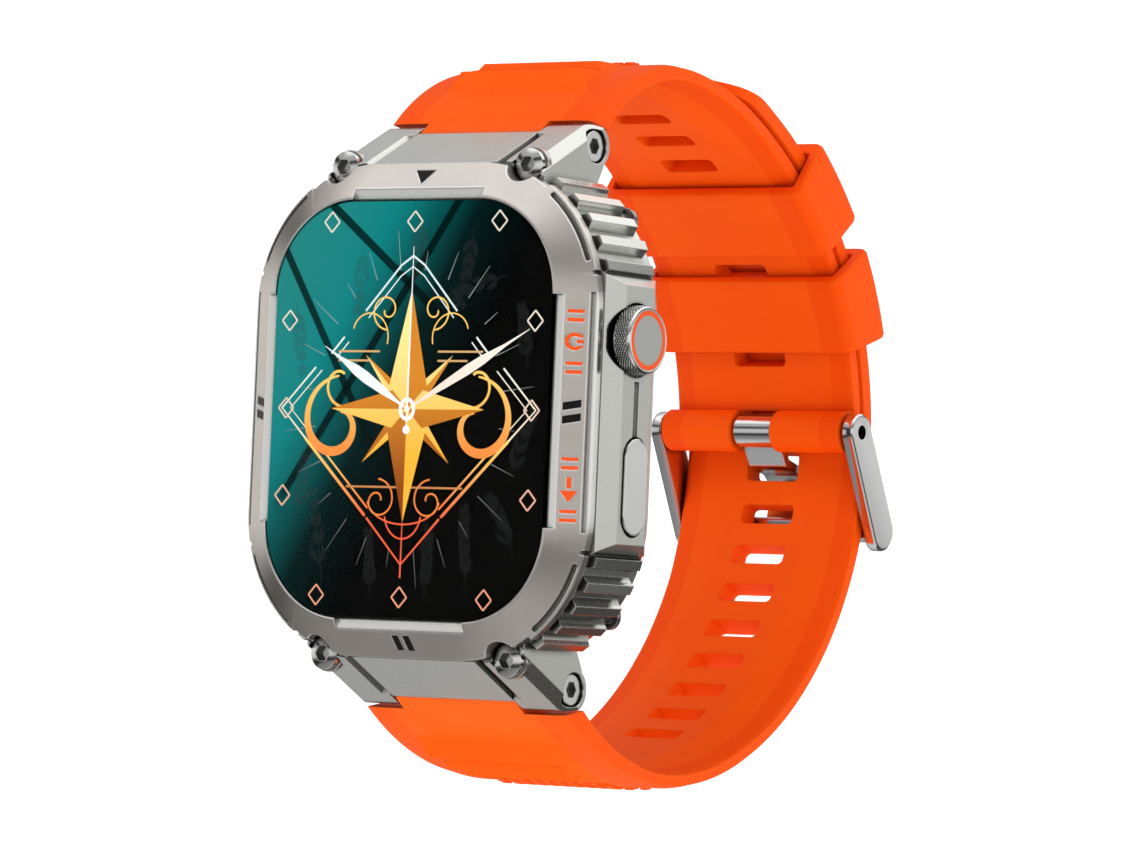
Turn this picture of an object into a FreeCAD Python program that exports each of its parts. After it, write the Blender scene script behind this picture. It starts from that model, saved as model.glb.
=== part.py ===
"""Sports watch with a buckled silicone band, one solid or group of like solids per node.

Frame: X to the crown side, Y from the dial into the wrist, Z towards twelve o'clock.
The origin is the centre of the case-back contact face. Lengths are millimetres.
"""
import FreeCAD, Part
import math
import os

from FreeCAD import Vector

# ---- case and screen ----
SCREEN_X = 16.75          # half width of the screen opening
SCREEN_Z = 20.5           # half height of the screen opening
SCREEN_R = 9.5
FRONT_Y = -14.0           # glass and innermost rim of the bezel
EDGE_Y = -12.0            # outer rim of the sloping bezel face
BEZEL_X = 20.3
BEZEL_Z = 24.15
BEZEL_R = 14.3
BEZEL_STEP = 0.35         # the corners and side flanges stand this far outside the plain rim
BEZEL_BACK_Y = -10.9
RIM_MARGIN = 0.2          # width of the flat rim beside the glass
FACE_SLOPE = (EDGE_Y - FRONT_Y) / (BEZEL_X - SCREEN_X - RIM_MARGIN)
FLANGE_Z = 13.2
SECTOR_FROM, SECTOR_TO = 15.0, 55.0

CASE_Z = 24.0
CASE_BACK_Y = -1.5
CAVITY_X, CAVITY_Z, CAVITY_R = 17.6, 21.0, 10.6
CORNER_X = BEZEL_X - BEZEL_R
CORNER_Z = BEZEL_Z - BEZEL_R
PAD_X = 22.0              # flat outer face of each side pad
PAD_ROOT_X = 20.2

GLASS_T = 1.1
DISPLAY_T = 1.05
LEDGE_Y = -12.7

# ---- lugs, strap bars and case screws ----
BAR_Y, BAR_Z = -2.3, 26.5
EYE_R = 2.15
LUG_IN, LUG_OUT = 7.5, 13.0
BAR_R = 1.1
BAR_SCREW_HEAD_R = 1.5
BEZEL_SCREW_X, BEZEL_SCREW_Z = 11.1, 23.95
BEZEL_SCREW_HEAD_R = 1.6
EAR_Y = -10.2             # front of the bezel ears, under the screw heads
EAR_T = 0.6
NOTCH_R = 1.8

# ---- crown and side button ----
CROWN_Y, CROWN_Z = -7.2, 7.2
CROWN_R = 3.4
CROWN_RECESS_R = 3.6
CROWN_BACK_X, CROWN_FACE_X = 21.3, 23.4
CROWN_FLOOR_X = 20.9
STEM_R = 1.2
RUNNING = 0.05            # radial clearance of a shaft that turns or slides
BUTTON_Y, BUTTON_Z = -6.6, -6.87
BUTTON_LONG, BUTTON_WIDE = 9.3, 3.7
BUTTON_FACE_X = 22.2
BUTTON_BACK_X = 21.4
BUTTON_FLOOR_X = 20.9
GUIDE_R = 0.6
GUIDE_PITCH = 5.4

# ---- band ----
LOOP_Y = 17.4             # centre of the round back part of the band
THICK = 2.0
LAYER_GAP = 0.2
UPPER_R = 31.8            # inner radius of the upper strap round the loop centre
LOWER_R = UPPER_R + THICK + LAYER_GAP
BLEND_R = 38.3            # flatter stretch between the round back and the top of the upper strap
BLEND_FROM, BLEND_TO = 38.0, 84.0
TAIL_TIP = 74.0
TAIL_TIP_T = 1.4
LUG_INNER = (1.6, 28.4)   # where the straps' inner and outer faces end beside the lugs
LUG_OUTER = (-2.5, 29.05)
LUG_TANGENT = (-3.3, 28.4)   # where the lug's slope meets its round eye
BAND_WIDE, BAND_NARROW = 12.0, 11.0
TAPER_FROM_Y, TAPER_TO_Y = 10.0, 32.0
SLOT_X, SLOT_LONG = 3.2, 2.1
SLOT_STEP = 7.7
TONGUE_HOLE, TONGUE_HOLE_LONG = -3.6, 3.0
LOWER_SLOTS = [-12.2 - i * SLOT_STEP for i in range(8)]
TAIL_SLOTS = [4.0 + i * SLOT_STEP for i in range(5)]
TAIL_BLEND_SLOTS = [46.0, 53.0, 60.0]
UPPER_SLOTS = [17.0, 25.5, 34.0]
UPPER_BLEND_SLOTS = [42.3, 49.7, 57.1, 64.5, 72.0]
EYE_GAP_R = 2.4

# ---- buckle and keepers ----
PIN_ANGLE, PIN_LOOP_R = 2.75, 31.2
PIN_R = 0.75
ROLL_R = 2.2
ROLL_X = 11.05
KNUCKLE_X = 2.3
ARM_IN, ARM_OUT = 11.3, 12.7
CROSS_ANGLE, CROSS_LOOP_R = -13.3, 37.3
TONGUE_T = 0.9
KEEPER_TUNNEL_X = 11.25
KEEPER_X = 12.4
UPPER_KEEPER = (38.8, 52.2)
LOWER_KEEPER = (18.2, 33.6)

NODES = {}


# ---------------------------------------------------------------- helpers
def box(x0, x1, y0, y1, z0, z1):
    return Part.makeBox(x1 - x0, y1 - y0, z1 - z0, Vector(x0, y0, z0))


def rod_x(radius, y, z, x0, x1):
    return Part.makeCylinder(radius, x1 - x0, Vector(x0, y, z), Vector(1, 0, 0))


def rod_y(radius, x, z, y0, y1):
    return Part.makeCylinder(radius, y1 - y0, Vector(x, y0, z), Vector(0, 1, 0))


def rounded_rect(half_x, half_z, radius, y):
    """A closed outline with round corners, square to Y."""
    cx, cz = half_x - radius, half_z - radius
    edges = []
    corners = [(cx, cz, 0), (-cx, cz, 90), (-cx, -cz, 180), (cx, -cz, 270)]
    ends = []
    for x, z, start in corners:
        turn = [math.radians(start + a) for a in (0, 45, 90)]
        points = [Vector(x + radius * math.cos(a), y, z + radius * math.sin(a)) for a in turn]
        ends.append((points[0], points[2]))
        edges.append(Part.Arc(*points).toShape())
    outline = []
    for i, arc in enumerate(edges):
        outline.append(arc)
        outline.append(Part.makeLine(ends[i][1], ends[(i + 1) % 4][0]))
    return Part.Wire(outline)


def slab(half_x, half_z, radius, y0, y1):
    face = Part.Face(rounded_rect(half_x, half_z, radius, y0))
    return face.extrude(Vector(0, y1 - y0, 0))


def frustum(front, back):
    """A solid between two rounded outlines, each given as half x, half z, radius, y."""
    return Part.makeLoft([rounded_rect(*front), rounded_rect(*back)], True, True)


def prism_x(points, x0, x1):
    """A polygon in the YZ plane carried along X."""
    wire = Part.makePolygon([Vector(x0, y, z) for y, z in points + points[:1]])
    return Part.Face(wire).extrude(Vector(x1 - x0, 0, 0))


def prism_y(points, y0, y1):
    wire = Part.makePolygon([Vector(x, y0, z) for x, z in points + points[:1]])
    return Part.Face(wire).extrude(Vector(0, y1 - y0, 0))


def prism_z(points, z0, z1):
    wire = Part.makePolygon([Vector(x, y, z0) for x, y in points + points[:1]])
    return Part.Face(wire).extrude(Vector(0, 0, z1 - z0))


def pill_x(y, z, long, wide, x0, x1):
    """A slab with round ends, long in Z, carried along X."""
    r = wide / 2
    reach = long / 2 - r
    body = box(x0, x1, y - r, y + r, z - reach, z + reach)
    return body.fuse([rod_x(r, y, z - reach, x0, x1), rod_x(r, y, z + reach, x0, x1)]).removeSplitter()


def mirror_x(shape):
    return shape.mirror(Vector(0, 0, 0), Vector(1, 0, 0))


def mirror_z(shape):
    return shape.mirror(Vector(0, 0, 0), Vector(0, 0, 1))


def four(shape):
    """The shape and its images at the other three corners."""
    return [shape, mirror_x(shape), mirror_z(shape), mirror_x(mirror_z(shape))]


def group(shapes):
    return Part.makeCompound(shapes)


def joined(shapes):
    return shapes[0].fuse(shapes[1:]).removeSplitter()


def on_circle(centre, radius, degrees):
    a = math.radians(degrees)
    return centre[0] + radius * math.cos(a), centre[1] + radius * math.sin(a)


def arc_yz(centre, radius, start, end):
    points = [on_circle(centre, radius, a) for a in (start, (start + end) / 2, end)]
    return Part.Arc(*[Vector(0, y, z) for y, z in points]).toShape()


def line_yz(a, b):
    return Part.makeLine(Vector(0, *a), Vector(0, *b))


def sheet_x(edges, x0, x1):
    """A closed run of edges drawn in the YZ plane, carried along X."""
    wire = Part.Wire(Part.__sortEdges__(edges))
    wire.translate(Vector(x0, 0, 0))
    return Part.Face(wire).extrude(Vector(x1 - x0, 0, 0))


def ring_piece(r0, r1, start, end, x0, x1, centre=(LOOP_Y, 0.0)):
    """A stretch of a round band about the loop centre."""
    edges = [
        arc_yz(centre, r0, start, end),
        line_yz(on_circle(centre, r0, end), on_circle(centre, r1, end)),
        arc_yz(centre, r1, end, start),
        line_yz(on_circle(centre, r1, start), on_circle(centre, r0, start)),
    ]
    return sheet_x(edges, x0, x1)


def sector_y(r0, r1, start, end, y0, y1, centre=(CORNER_X, CORNER_Z)):
    """A stretch of a ring in the XZ plane, about a case corner's centre, carried along Y."""
    def arc(radius, a, b):
        points = [on_circle(centre, radius, t) for t in (a, (a + b) / 2, b)]
        return Part.Arc(*[Vector(x, y0, z) for x, z in points]).toShape()

    def line(a, b):
        return Part.makeLine(Vector(a[0], y0, a[1]), Vector(b[0], y0, b[1]))

    edges = [
        arc(r0, start, end),
        line(on_circle(centre, r0, end), on_circle(centre, r1, end)),
        arc(r1, end, start),
        line(on_circle(centre, r1, start), on_circle(centre, r0, start)),
    ]
    wire = Part.Wire(Part.__sortEdges__(edges))
    return Part.Face(wire).extrude(Vector(0, y1 - y0, 0))


def continued(centre, radius, degrees, new_radius):
    """The centre of an arc that carries on smoothly from a circle's point at a new radius."""
    return on_circle(centre, radius - new_radius, degrees)


def radius_to(centre, radius, degrees, target):
    """The radius of the arc that carries on smoothly from a circle's point and ends at the target."""
    py, pz = on_circle(centre, radius, degrees)
    dy, dz = target[0] - py, target[1] - pz
    a = math.radians(degrees)
    return -(dy * dy + dz * dz) / (2 * (dy * math.cos(a) + dz * math.sin(a)))


def angle_of(centre, point):
    return math.degrees(math.atan2(point[1] - centre[1], point[0] - centre[0]))


def save(name, shape):
    NODES[name] = shape


# ---------------------------------------------------------------- bezel and screen
MARK_Z = 22.75
MARK_X = 18.8
MARK_FLOOR_Y = -12.45
LABEL_FLOOR_Y = -12.45


def slanted_bar(x, z, long, wide, lean, y0, y1):
    """A short bar whose ends lean sideways, long in Z."""
    points = [(x - wide / 2 - lean / 2, z - long / 2), (x + wide / 2 - lean / 2, z - long / 2),
              (x + wide / 2 + lean / 2, z + long / 2), (x - wide / 2 + lean / 2, z + long / 2)]
    return prism_y(points, y0, y1)


def turned(shape):
    """A mark for the three and nine o'clock sides, turned a quarter from the top ones."""
    copy = shape.copy()
    copy.rotate(Vector(0, 0, 0), Vector(0, 1, 0), 90)
    return copy


def index_marks():
    """A pointer at twelve and pairs of leaning bars at three, six and nine."""
    top = prism_y([(-1.3, MARK_Z + 0.75), (1.3, MARK_Z + 0.75), (0.0, MARK_Z - 0.75)], -15, MARK_FLOOR_Y)
    pair = [slanted_bar(side * 0.65, 0, 1.6, 0.75, -0.35, -15, MARK_FLOOR_Y) for side in (-1, 1)]
    marks = [top]
    for bar in pair:
        bottom = bar.copy()
        bottom.translate(Vector(0, 0, -MARK_Z))
        marks.append(bottom)
        right = turned(bar)
        right.translate(Vector(MARK_X, 0, 0))
        marks.append(right)
        marks.append(mirror_x(right))
    return marks


def label_marks():
    """Generic signs beside the crown and the button: an on/off sign and a return arrow, with ticks."""
    marks = []
    sign_z = 6.7
    ring = rod_y(0.85, MARK_X, sign_z, -15, LABEL_FLOOR_Y).cut(rod_y(0.5, MARK_X, sign_z, -15, LABEL_FLOOR_Y))
    ring = ring.cut(box(MARK_X, MARK_X + 1, -15, 0, sign_z - 0.4, sign_z + 0.4))
    marks.append(ring)
    marks.append(box(MARK_X + 0.15, MARK_X + 0.95, -15, LABEL_FLOOR_Y, sign_z - 0.17, sign_z + 0.17))
    arrow_z = -7.45
    head = prism_y([(MARK_X, arrow_z - 1.2), (MARK_X + 0.75, arrow_z - 0.1), (MARK_X - 0.75, arrow_z - 0.1)],
                   -15, LABEL_FLOOR_Y)
    marks.append(head)
    marks.append(box(MARK_X - 0.2, MARK_X + 0.2, -15, LABEL_FLOOR_Y, arrow_z + 0.1, arrow_z + 1.2))
    for z in (4.2, 9.2, -4.95, -9.95):
        for shift in (-0.42, 0.42):
            marks.append(box(MARK_X - 0.7, MARK_X + 0.7, -15, LABEL_FLOOR_Y, z + shift - 0.17, z + shift + 0.17))
    return marks


def bezel_blank():
    rim = (SCREEN_X + RIM_MARGIN, SCREEN_Z + RIM_MARGIN, SCREEN_R + RIM_MARGIN, FRONT_Y)
    plain = frustum(rim, (BEZEL_X, BEZEL_Z, BEZEL_R, EDGE_Y))
    plain = plain.fuse(slab(BEZEL_X, BEZEL_Z, BEZEL_R, EDGE_Y, BEZEL_BACK_Y))
    wide_x, wide_z, wide_r = BEZEL_X + BEZEL_STEP, BEZEL_Z + BEZEL_STEP, BEZEL_R + BEZEL_STEP
    wide_y = EDGE_Y + BEZEL_STEP * FACE_SLOPE
    wide = frustum(rim, (wide_x, wide_z, wide_r, wide_y)).fuse(slab(wide_x, wide_z, wide_r, wide_y, BEZEL_BACK_Y))
    keep = four(sector_y(4, 20, SECTOR_FROM, SECTOR_TO, -15, -10))
    keep += [box(17, 22, -15, -10, -FLANGE_Z, FLANGE_Z), box(-22, -17, -15, -10, -FLANGE_Z, FLANGE_Z)]
    raised = [wide.common(k) for k in keep]
    return plain.fuse(raised).removeSplitter()


def ears(grow):
    """The bezel's four ears under the case screws, with the webs that join them to the rim."""
    inset = 0.9 - grow
    web = slab(BEZEL_X - inset, BEZEL_Z - inset, BEZEL_R - inset, BEZEL_BACK_Y - 0.2, EAR_Y + EAR_T)
    web = web.common(box(9.2 - grow, 13 + grow, -12, -9, 20.5 - grow, 25))
    disc = rod_y(NOTCH_R + grow, BEZEL_SCREW_X, BEZEL_SCREW_Z, EAR_Y, EAR_Y + EAR_T)
    return four(web.fuse(disc))


def bezel():
    body = bezel_blank().fuse(ears(0.0))
    body = body.cut(four(rod_y(NOTCH_R, BEZEL_SCREW_X, BEZEL_SCREW_Z, -15, EAR_Y)))
    body = body.cut(four(rod_y(0.85, BEZEL_SCREW_X, BEZEL_SCREW_Z, -15, 0)))
    body = body.cut(slab(SCREEN_X, SCREEN_Z, SCREEN_R, -15, LEDGE_Y))
    body = body.cut(slab(SCREEN_X - 1.1, SCREEN_Z - 1.1, SCREEN_R - 1.1, -15, -5))
    body = body.cut(slab(CAVITY_X, CAVITY_Z, CAVITY_R, -12.2, -5))
    # polished ledges beside the glass
    ledge_y = FRONT_Y + 0.5
    for side in (-1, 1):
        z0, z1 = sorted((side * (SCREEN_Z - 0.3), side * (SCREEN_Z + 1.0)))
        body = body.cut(box(-7.7, 7.7, -15, ledge_y, z0, z1))
        x0, x1 = sorted((side * (SCREEN_X - 0.3), side * (SCREEN_X + 1.05)))
        body = body.cut(box(x0, x1, -15, ledge_y, -11.2, 11.2))
    # polished channels along the corners and strips along the sides
    channel = sector_y(13.95, 14.4, 20, 51, -15, EDGE_Y + 0.25)
    ends = [rod_y(0.225, *on_circle((CORNER_X, CORNER_Z), 14.175, a), -15, EDGE_Y + 0.25) for a in (20, 51)]
    for cutter in four(channel) + four(ends[0]) + four(ends[1]):
        body = body.cut(cutter)
    for side in (-1, 1):
        x0, x1 = sorted((side * 19.9, side * 20.35))
        body = body.cut(box(x0, x1, -15, EDGE_Y + 0.2, -11.5, 11.5))
    return body


def front_parts():
    body = bezel()
    marks = index_marks()
    labels = label_marks()
    save("index_inlays", group([m.common(body) for m in marks]))
    save("label_inlays", group([m.common(body) for m in labels]))
    body = body.cut(marks + labels)
    save("bezel", body)
    glass = slab(SCREEN_X - 0.05, SCREEN_Z - 0.05, SCREEN_R - 0.05, FRONT_Y + 0.15, FRONT_Y + GLASS_T)
    glass_top = frustum((SCREEN_X - 0.2, SCREEN_Z - 0.2, SCREEN_R - 0.2, FRONT_Y),
                        (SCREEN_X - 0.05, SCREEN_Z - 0.05, SCREEN_R - 0.05, FRONT_Y + 0.15))
    save("cover_glass", glass.fuse(glass_top).removeSplitter())
    back_y = FRONT_Y + GLASS_T
    gasket = slab(SCREEN_X - 0.1, SCREEN_Z - 0.1, SCREEN_R - 0.1, back_y, LEDGE_Y)
    save("glass_gasket", gasket.cut(slab(SCREEN_X - 1.1, SCREEN_Z - 1.1, SCREEN_R - 1.1, back_y - 1, 0)))
    save("display_panel", slab(SCREEN_X - 1.2, SCREEN_Z - 1.2, SCREEN_R - 1.2, back_y, back_y + DISPLAY_T))


# ---------------------------------------------------------------- middle case
def pad(sign):
    """A flat pad on the case side, with sloping borders."""
    def outline(x, y0, y1, z):
        return Part.makePolygon([Vector(x, y0, -z), Vector(x, y1, -z), Vector(x, y1, z), Vector(x, y0, z),
                                 Vector(x, y0, -z)])
    base = outline(PAD_ROOT_X - 0.4, BEZEL_BACK_Y, -2.2, 13.7)
    step = outline(20.75, BEZEL_BACK_Y, -2.5, 13.3)
    top = outline(PAD_X, -9.2, -4.4, 12.45)
    lower = Part.makeLoft([base, step], True, True)
    upper = Part.makeLoft([step, top], True, True)
    shape = lower.fuse(upper).removeSplitter()
    return shape if sign > 0 else mirror_x(shape)


def ribs():
    """Five grip ribs round each corner of the case."""
    shapes = []
    outline = [(14.1, -0.95), (14.75, -0.62), (15.2, -0.5), (15.2, 0.5), (14.75, 0.62), (14.1, 0.95)]
    for i in range(5):
        rib = prism_y(outline, -10.3, -2.6)
        rib.rotate(Vector(0, 0, 0), Vector(0, 1, 0), -(17.0 + i * 9.8))
        rib.translate(Vector(CORNER_X, 0, CORNER_Z))
        shapes += four(rib)
    return shapes


def mid_case():
    body = slab(BEZEL_X, CASE_Z, BEZEL_R, BEZEL_BACK_Y, CASE_BACK_Y)
    body = body.fuse(ribs() + [pad(1), pad(-1)]).removeSplitter()
    body = body.cut(slab(CAVITY_X, CAVITY_Z, CAVITY_R, -12, 0))
    body = body.cut(four(rod_y(NOTCH_R + 0.05, BEZEL_SCREW_X, BEZEL_SCREW_Z, -12, EAR_Y + EAR_T)))
    body = body.cut(ears(0.05))
    # crown: recess, tube seat
    body = body.cut(rod_x(CROWN_RECESS_R, CROWN_Y, CROWN_Z, CROWN_FLOOR_X, 24))
    body = body.cut(rod_x(2.0, CROWN_Y, CROWN_Z, 15, 24))
    # button: pocket and guide holes
    body = body.cut(pill_x(BUTTON_Y, BUTTON_Z, BUTTON_LONG + 0.4, BUTTON_WIDE + 0.4, BUTTON_FLOOR_X, 24))
    for side in (-1, 1):
        body = body.cut(rod_x(GUIDE_R + RUNNING, BUTTON_Y, BUTTON_Z + side * GUIDE_PITCH / 2, 15, 24))
        body = body.cut(rod_x(1.0, BUTTON_Y, BUTTON_Z + side * GUIDE_PITCH / 2, 18.8, 20.2))
    # groove between crown and button, and sound slots on the other side
    body = body.cut(box(PAD_X - 0.3, 24, -7.25, -6.4, -2.2, 3.2))
    for z in (-3.0, 0.0, 3.0):
        body = body.cut(pill_x(-6.8, z, 2.2, 0.9, -23, -15).common(box(-24, -15, -9, -5, -5, 5)))
    # case-back seat: gasket groove and screw posts
    groove = slab(19.0, 22.5, 12.9, -2.1, 0).cut(slab(18.2, 21.7, 12.1, -3, 1))
    body = body.cut(groove)
    body = body.cut(four(rod_y(0.7, 15.75, 19.25, -5.5, 0)))
    return body


def seal_ring(half_x, half_z, radius, wide, y0, y1):
    return slab(half_x, half_z, radius, y0, y1).cut(
        slab(half_x - wide, half_z - wide, radius - wide, y0 - 1, y1 + 1))


def back_parts():
    cover = slab(19.6, 23.3, 13.6, CASE_BACK_Y, -0.6)
    raised = frustum((15.6, 17.6, 10.5, -0.6), (15.0, 17.0, 9.9, -0.2))
    cover = cover.fuse(raised).removeSplitter()
    cover = cover.cut(rod_y(9.0, 0, 0, -3, 1))
    cover = cover.cut(four(rod_y(0.75, 15.75, 19.25, -3, 1)))
    cover = cover.cut(four(rod_y(1.35, 15.75, 19.25, -1.1, 1)))
    contacts = [(-3.0, -12.9), (3.0, -12.9)]
    for x, z in contacts:
        cover = cover.cut(rod_y(1.0, x, z, -3, 1))
    save("back_cover", cover)
    save("charging_contacts", group([rod_y(1.0, x, z, -2.4, -0.15) for x, z in contacts]))
    window = rod_y(8.95, 0, 0, -0.9, 0.0).fuse(rod_y(8.2, 0, 0, -1.5, -0.9)).removeSplitter()
    save("sensor_window", window)
    screws = []
    for x, z in ((1, 1), (-1, 1), (1, -1), (-1, -1)):
        cx, cz = x * 15.75, z * 19.25
        screw = rod_y(1.3, cx, cz, -1.1, -0.6).fuse(rod_y(0.7, cx, cz, -5.0, -1.1)).removeSplitter()
        socket = rod_y(0.55, cx, cz, -0.95, 0)
        screws.append(screw.cut(socket))
    save("back_screws", group(screws))
    save("case_gasket", seal_ring(18.95, 22.45, 12.85, 0.7, -2.1, CASE_BACK_Y))
    module = rod_y(7.6, 0, 0, -3.0, -2.4).fuse([rod_y(1.1, 0, 0, -2.4, -1.7)] + [
        rod_y(0.9, 4.6 * math.cos(a), 4.6 * math.sin(a), -2.4, -1.7)
        for a in (math.radians(k * 90 + 45) for k in range(4))]).removeSplitter()
    save("sensor_module", module)


# ---------------------------------------------------------------- lugs and end plates
LUG_PROFILE = [(-10.9, 21.0), (-11.3, 24.2), (-3.3, 28.4), (BAR_Y, BAR_Z), (-1.0, 24.6), (-3.0, 21.0)]
PLATE_PROFILE = [(-10.9, 23.5), (-11.2, 24.2), (-4.02, 27.97), (-3.9, 27.6), (-4.4, 25.2), (-7.5, 23.5)]


def case_outline(y0, y1):
    return slab(BEZEL_X, CASE_Z, BEZEL_R, y0, y1)


def lug_blank():
    body = prism_x(LUG_PROFILE, LUG_IN, LUG_OUT).fuse(rod_x(EYE_R, BAR_Y, BAR_Z, LUG_IN, LUG_OUT))
    # bevels along the inner and outer edges of the sloping face
    slope = math.degrees(math.atan2(28.4 - 24.2, -3.3 + 11.3))
    for x, lean in ((LUG_OUT - 1.15, 40), (LUG_IN + 1.0, -40)):
        cutter = box(-3, 3, -20, 20, 0, 4)
        cutter.rotate(Vector(0, 0, 0), Vector(0, 1, 0), lean)
        cutter.rotate(Vector(0, 0, 0), Vector(1, 0, 0), slope)
        cutter.translate(Vector(x, -7.3, 26.3))
        if lean < 0:
            cutter = cutter.common(box(0, LUG_IN + 1.0, -20, -4.6, 20, 40))
        body = body.cut(cutter)
    return body.removeSplitter()


def lug():
    body = lug_blank()
    body = body.cut(case_outline(-12, CASE_BACK_Y))
    body = body.cut(rod_y(NOTCH_R + 0.02, BEZEL_SCREW_X, BEZEL_SCREW_Z, -20, EAR_Y + EAR_T))
    body = body.cut(slab(BEZEL_X + BEZEL_STEP, BEZEL_Z + BEZEL_STEP, BEZEL_R + BEZEL_STEP, -20, BEZEL_BACK_Y))
    body = body.cut(rod_y(0.8, BEZEL_SCREW_X, BEZEL_SCREW_Z, -20, -5.4))
    body = body.cut(rod_x(BAR_R, BAR_Y, BAR_Z, 5, 11.5))
    body = body.cut(rod_x(1.7, BAR_Y, BAR_Z, 11.5, 15))
    return body


def lug_parts():
    corner = lug()
    images = four(corner)
    for name, shape in zip(("upper_right", "upper_left", "lower_right", "lower_left"), images):
        save("lug_" + name, shape)
    plate = prism_x(PLATE_PROFILE, -LUG_IN + 0.1, LUG_IN - 0.1)
    plate = plate.cut(case_outline(-12, CASE_BACK_Y))
    plate = plate.cut(slab(BEZEL_X, BEZEL_Z, BEZEL_R, -20, BEZEL_BACK_Y))
    plate = plate.cut(rod_x(EYE_R + 0.15, BAR_Y, BAR_Z, -9, 9))
    save("end_plate_upper", plate)
    save("end_plate_lower", mirror_z(plate))
    screw = rod_y(BEZEL_SCREW_HEAD_R, BEZEL_SCREW_X, BEZEL_SCREW_Z, EAR_Y - 1.1, EAR_Y)
    dome_r = 3.2
    dome = Part.makeSphere(dome_r, Vector(BEZEL_SCREW_X, EAR_Y - 1.1 + dome_r, BEZEL_SCREW_Z))
    screw = screw.common(dome).fuse(rod_y(0.8, BEZEL_SCREW_X, BEZEL_SCREW_Z, EAR_Y, -5.6))
    socket = prism_y(hexagon(BEZEL_SCREW_X, BEZEL_SCREW_Z, 0.85), -15, EAR_Y - 0.35)
    save("bezel_screws", group(four(screw.cut(socket))))
    bar = rod_x(BAR_R, BAR_Y, BAR_Z, -10.9, 10.9)
    for side in (-1, 1):
        x0, x1 = sorted((side * 8.2, side * 12))
        bar = bar.cut(rod_x(0.65, BAR_Y, BAR_Z, x0, x1))
    save("strap_bar_upper", bar)
    save("strap_bar_lower", mirror_z(bar))
    bar_screw = rod_x(0.65, BAR_Y, BAR_Z, 8.4, 11.5).fuse(rod_x(BAR_SCREW_HEAD_R, BAR_Y, BAR_Z, 11.5, 12.7))
    bar_screw = bar_screw.cut(prism_x(hexagon(BAR_Y, BAR_Z, 0.85), 11.9, 14))
    save("strap_bar_screws", group(four(bar_screw)))


def hexagon(u, v, radius):
    return [on_circle((u, v), radius, 60 * i) for i in range(6)]


# ---------------------------------------------------------------- crown and side button
def crown_parts():
    tube = rod_x(2.0, CROWN_Y, CROWN_Z, 15.6, CROWN_FLOOR_X)
    save("crown_tube", tube.cut(rod_x(STEM_R + RUNNING, CROWN_Y, CROWN_Z, 15, 24)))
    knob = rod_x(CROWN_R - 0.22, CROWN_Y, CROWN_Z, CROWN_BACK_X, CROWN_FACE_X)
    teeth = 26
    tooth = prism_x([(CROWN_Y - 0.3, CROWN_Z + CROWN_R - 0.5), (CROWN_Y + 0.3, CROWN_Z + CROWN_R - 0.5),
                     (CROWN_Y + 0.16, CROWN_Z + CROWN_R), (CROWN_Y - 0.16, CROWN_Z + CROWN_R)],
                    CROWN_BACK_X + 0.2, CROWN_FACE_X - 0.35)
    shapes = []
    for i in range(teeth):
        copy = tooth.copy()
        copy.rotate(Vector(0, CROWN_Y, CROWN_Z), Vector(1, 0, 0), 360.0 / teeth * i)
        shapes.append(copy)
    knob = knob.fuse(shapes)
    knob = knob.cut(rod_x(2.85, CROWN_Y, CROWN_Z, CROWN_FACE_X - 0.3, 24))
    knob = knob.cut(rod_x(0.8, CROWN_Y, CROWN_Z, 20, 24))
    save("crown_knob", knob.removeSplitter())
    ring = rod_x(2.85, CROWN_Y, CROWN_Z, CROWN_FACE_X - 0.3, CROWN_FACE_X)
    save("crown_ring", ring.cut(rod_x(2.4, CROWN_Y, CROWN_Z, 20, 24)))
    save("crown_cap", rod_x(2.4, CROWN_Y, CROWN_Z, CROWN_FACE_X - 0.3, CROWN_FACE_X - 0.02))
    stem = rod_x(0.8, CROWN_Y, CROWN_Z, CROWN_BACK_X, CROWN_FACE_X - 0.3)
    stem = stem.fuse([rod_x(STEM_R, CROWN_Y, CROWN_Z, 15.9, CROWN_BACK_X),
                      rod_x(0.6, CROWN_Y, CROWN_Z, 14.9, 15.9)]).removeSplitter()
    groove = rod_x(2, CROWN_Y, CROWN_Z, 17.6, 18.4).cut(rod_x(0.9, CROWN_Y, CROWN_Z, 17, 19))
    save("crown_stem", stem.cut(groove))
    seal = rod_x(STEM_R + 0.03, CROWN_Y, CROWN_Z, 17.65, 18.35)
    save("crown_seal", seal.cut(rod_x(0.9, CROWN_Y, CROWN_Z, 17, 19)))
    plunger = rod_x(1.1, CROWN_Y, CROWN_Z, 14.2, 15.85).cut(rod_x(0.6 + RUNNING, CROWN_Y, CROWN_Z, 14.85, 16))
    save("crown_plunger", plunger)
    switch = box(12.0, 13.6, -8.6, -6.2, CROWN_Z - 2.2, CROWN_Z + 2.2)
    save("crown_switch", switch)


def button_parts():
    cap = pill_x(BUTTON_Y, BUTTON_Z, BUTTON_LONG, BUTTON_WIDE, BUTTON_BACK_X, BUTTON_FACE_X)
    for side in (-1, 1):
        z = BUTTON_Z + side * GUIDE_PITCH / 2
        cap = cap.fuse(rod_x(GUIDE_R, BUTTON_Y, z, 16.2, BUTTON_BACK_X))
        cap = cap.cut(rod_x(2, BUTTON_Y, z, 19.3, 19.9).cut(rod_x(0.4, BUTTON_Y, z, 19, 20)))
    save("side_button", cap.removeSplitter())
    seals = []
    for side in (-1, 1):
        z = BUTTON_Z + side * GUIDE_PITCH / 2
        seals.append(rod_x(0.95, BUTTON_Y, z, 19.35, 19.85).cut(rod_x(0.4, BUTTON_Y, z, 19, 20)))
    save("button_seals", group(seals))
    save("button_switch", box(13.9, 15.5, -7.6, -6.2, BUTTON_Z - 3.6, BUTTON_Z + 3.6))


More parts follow.
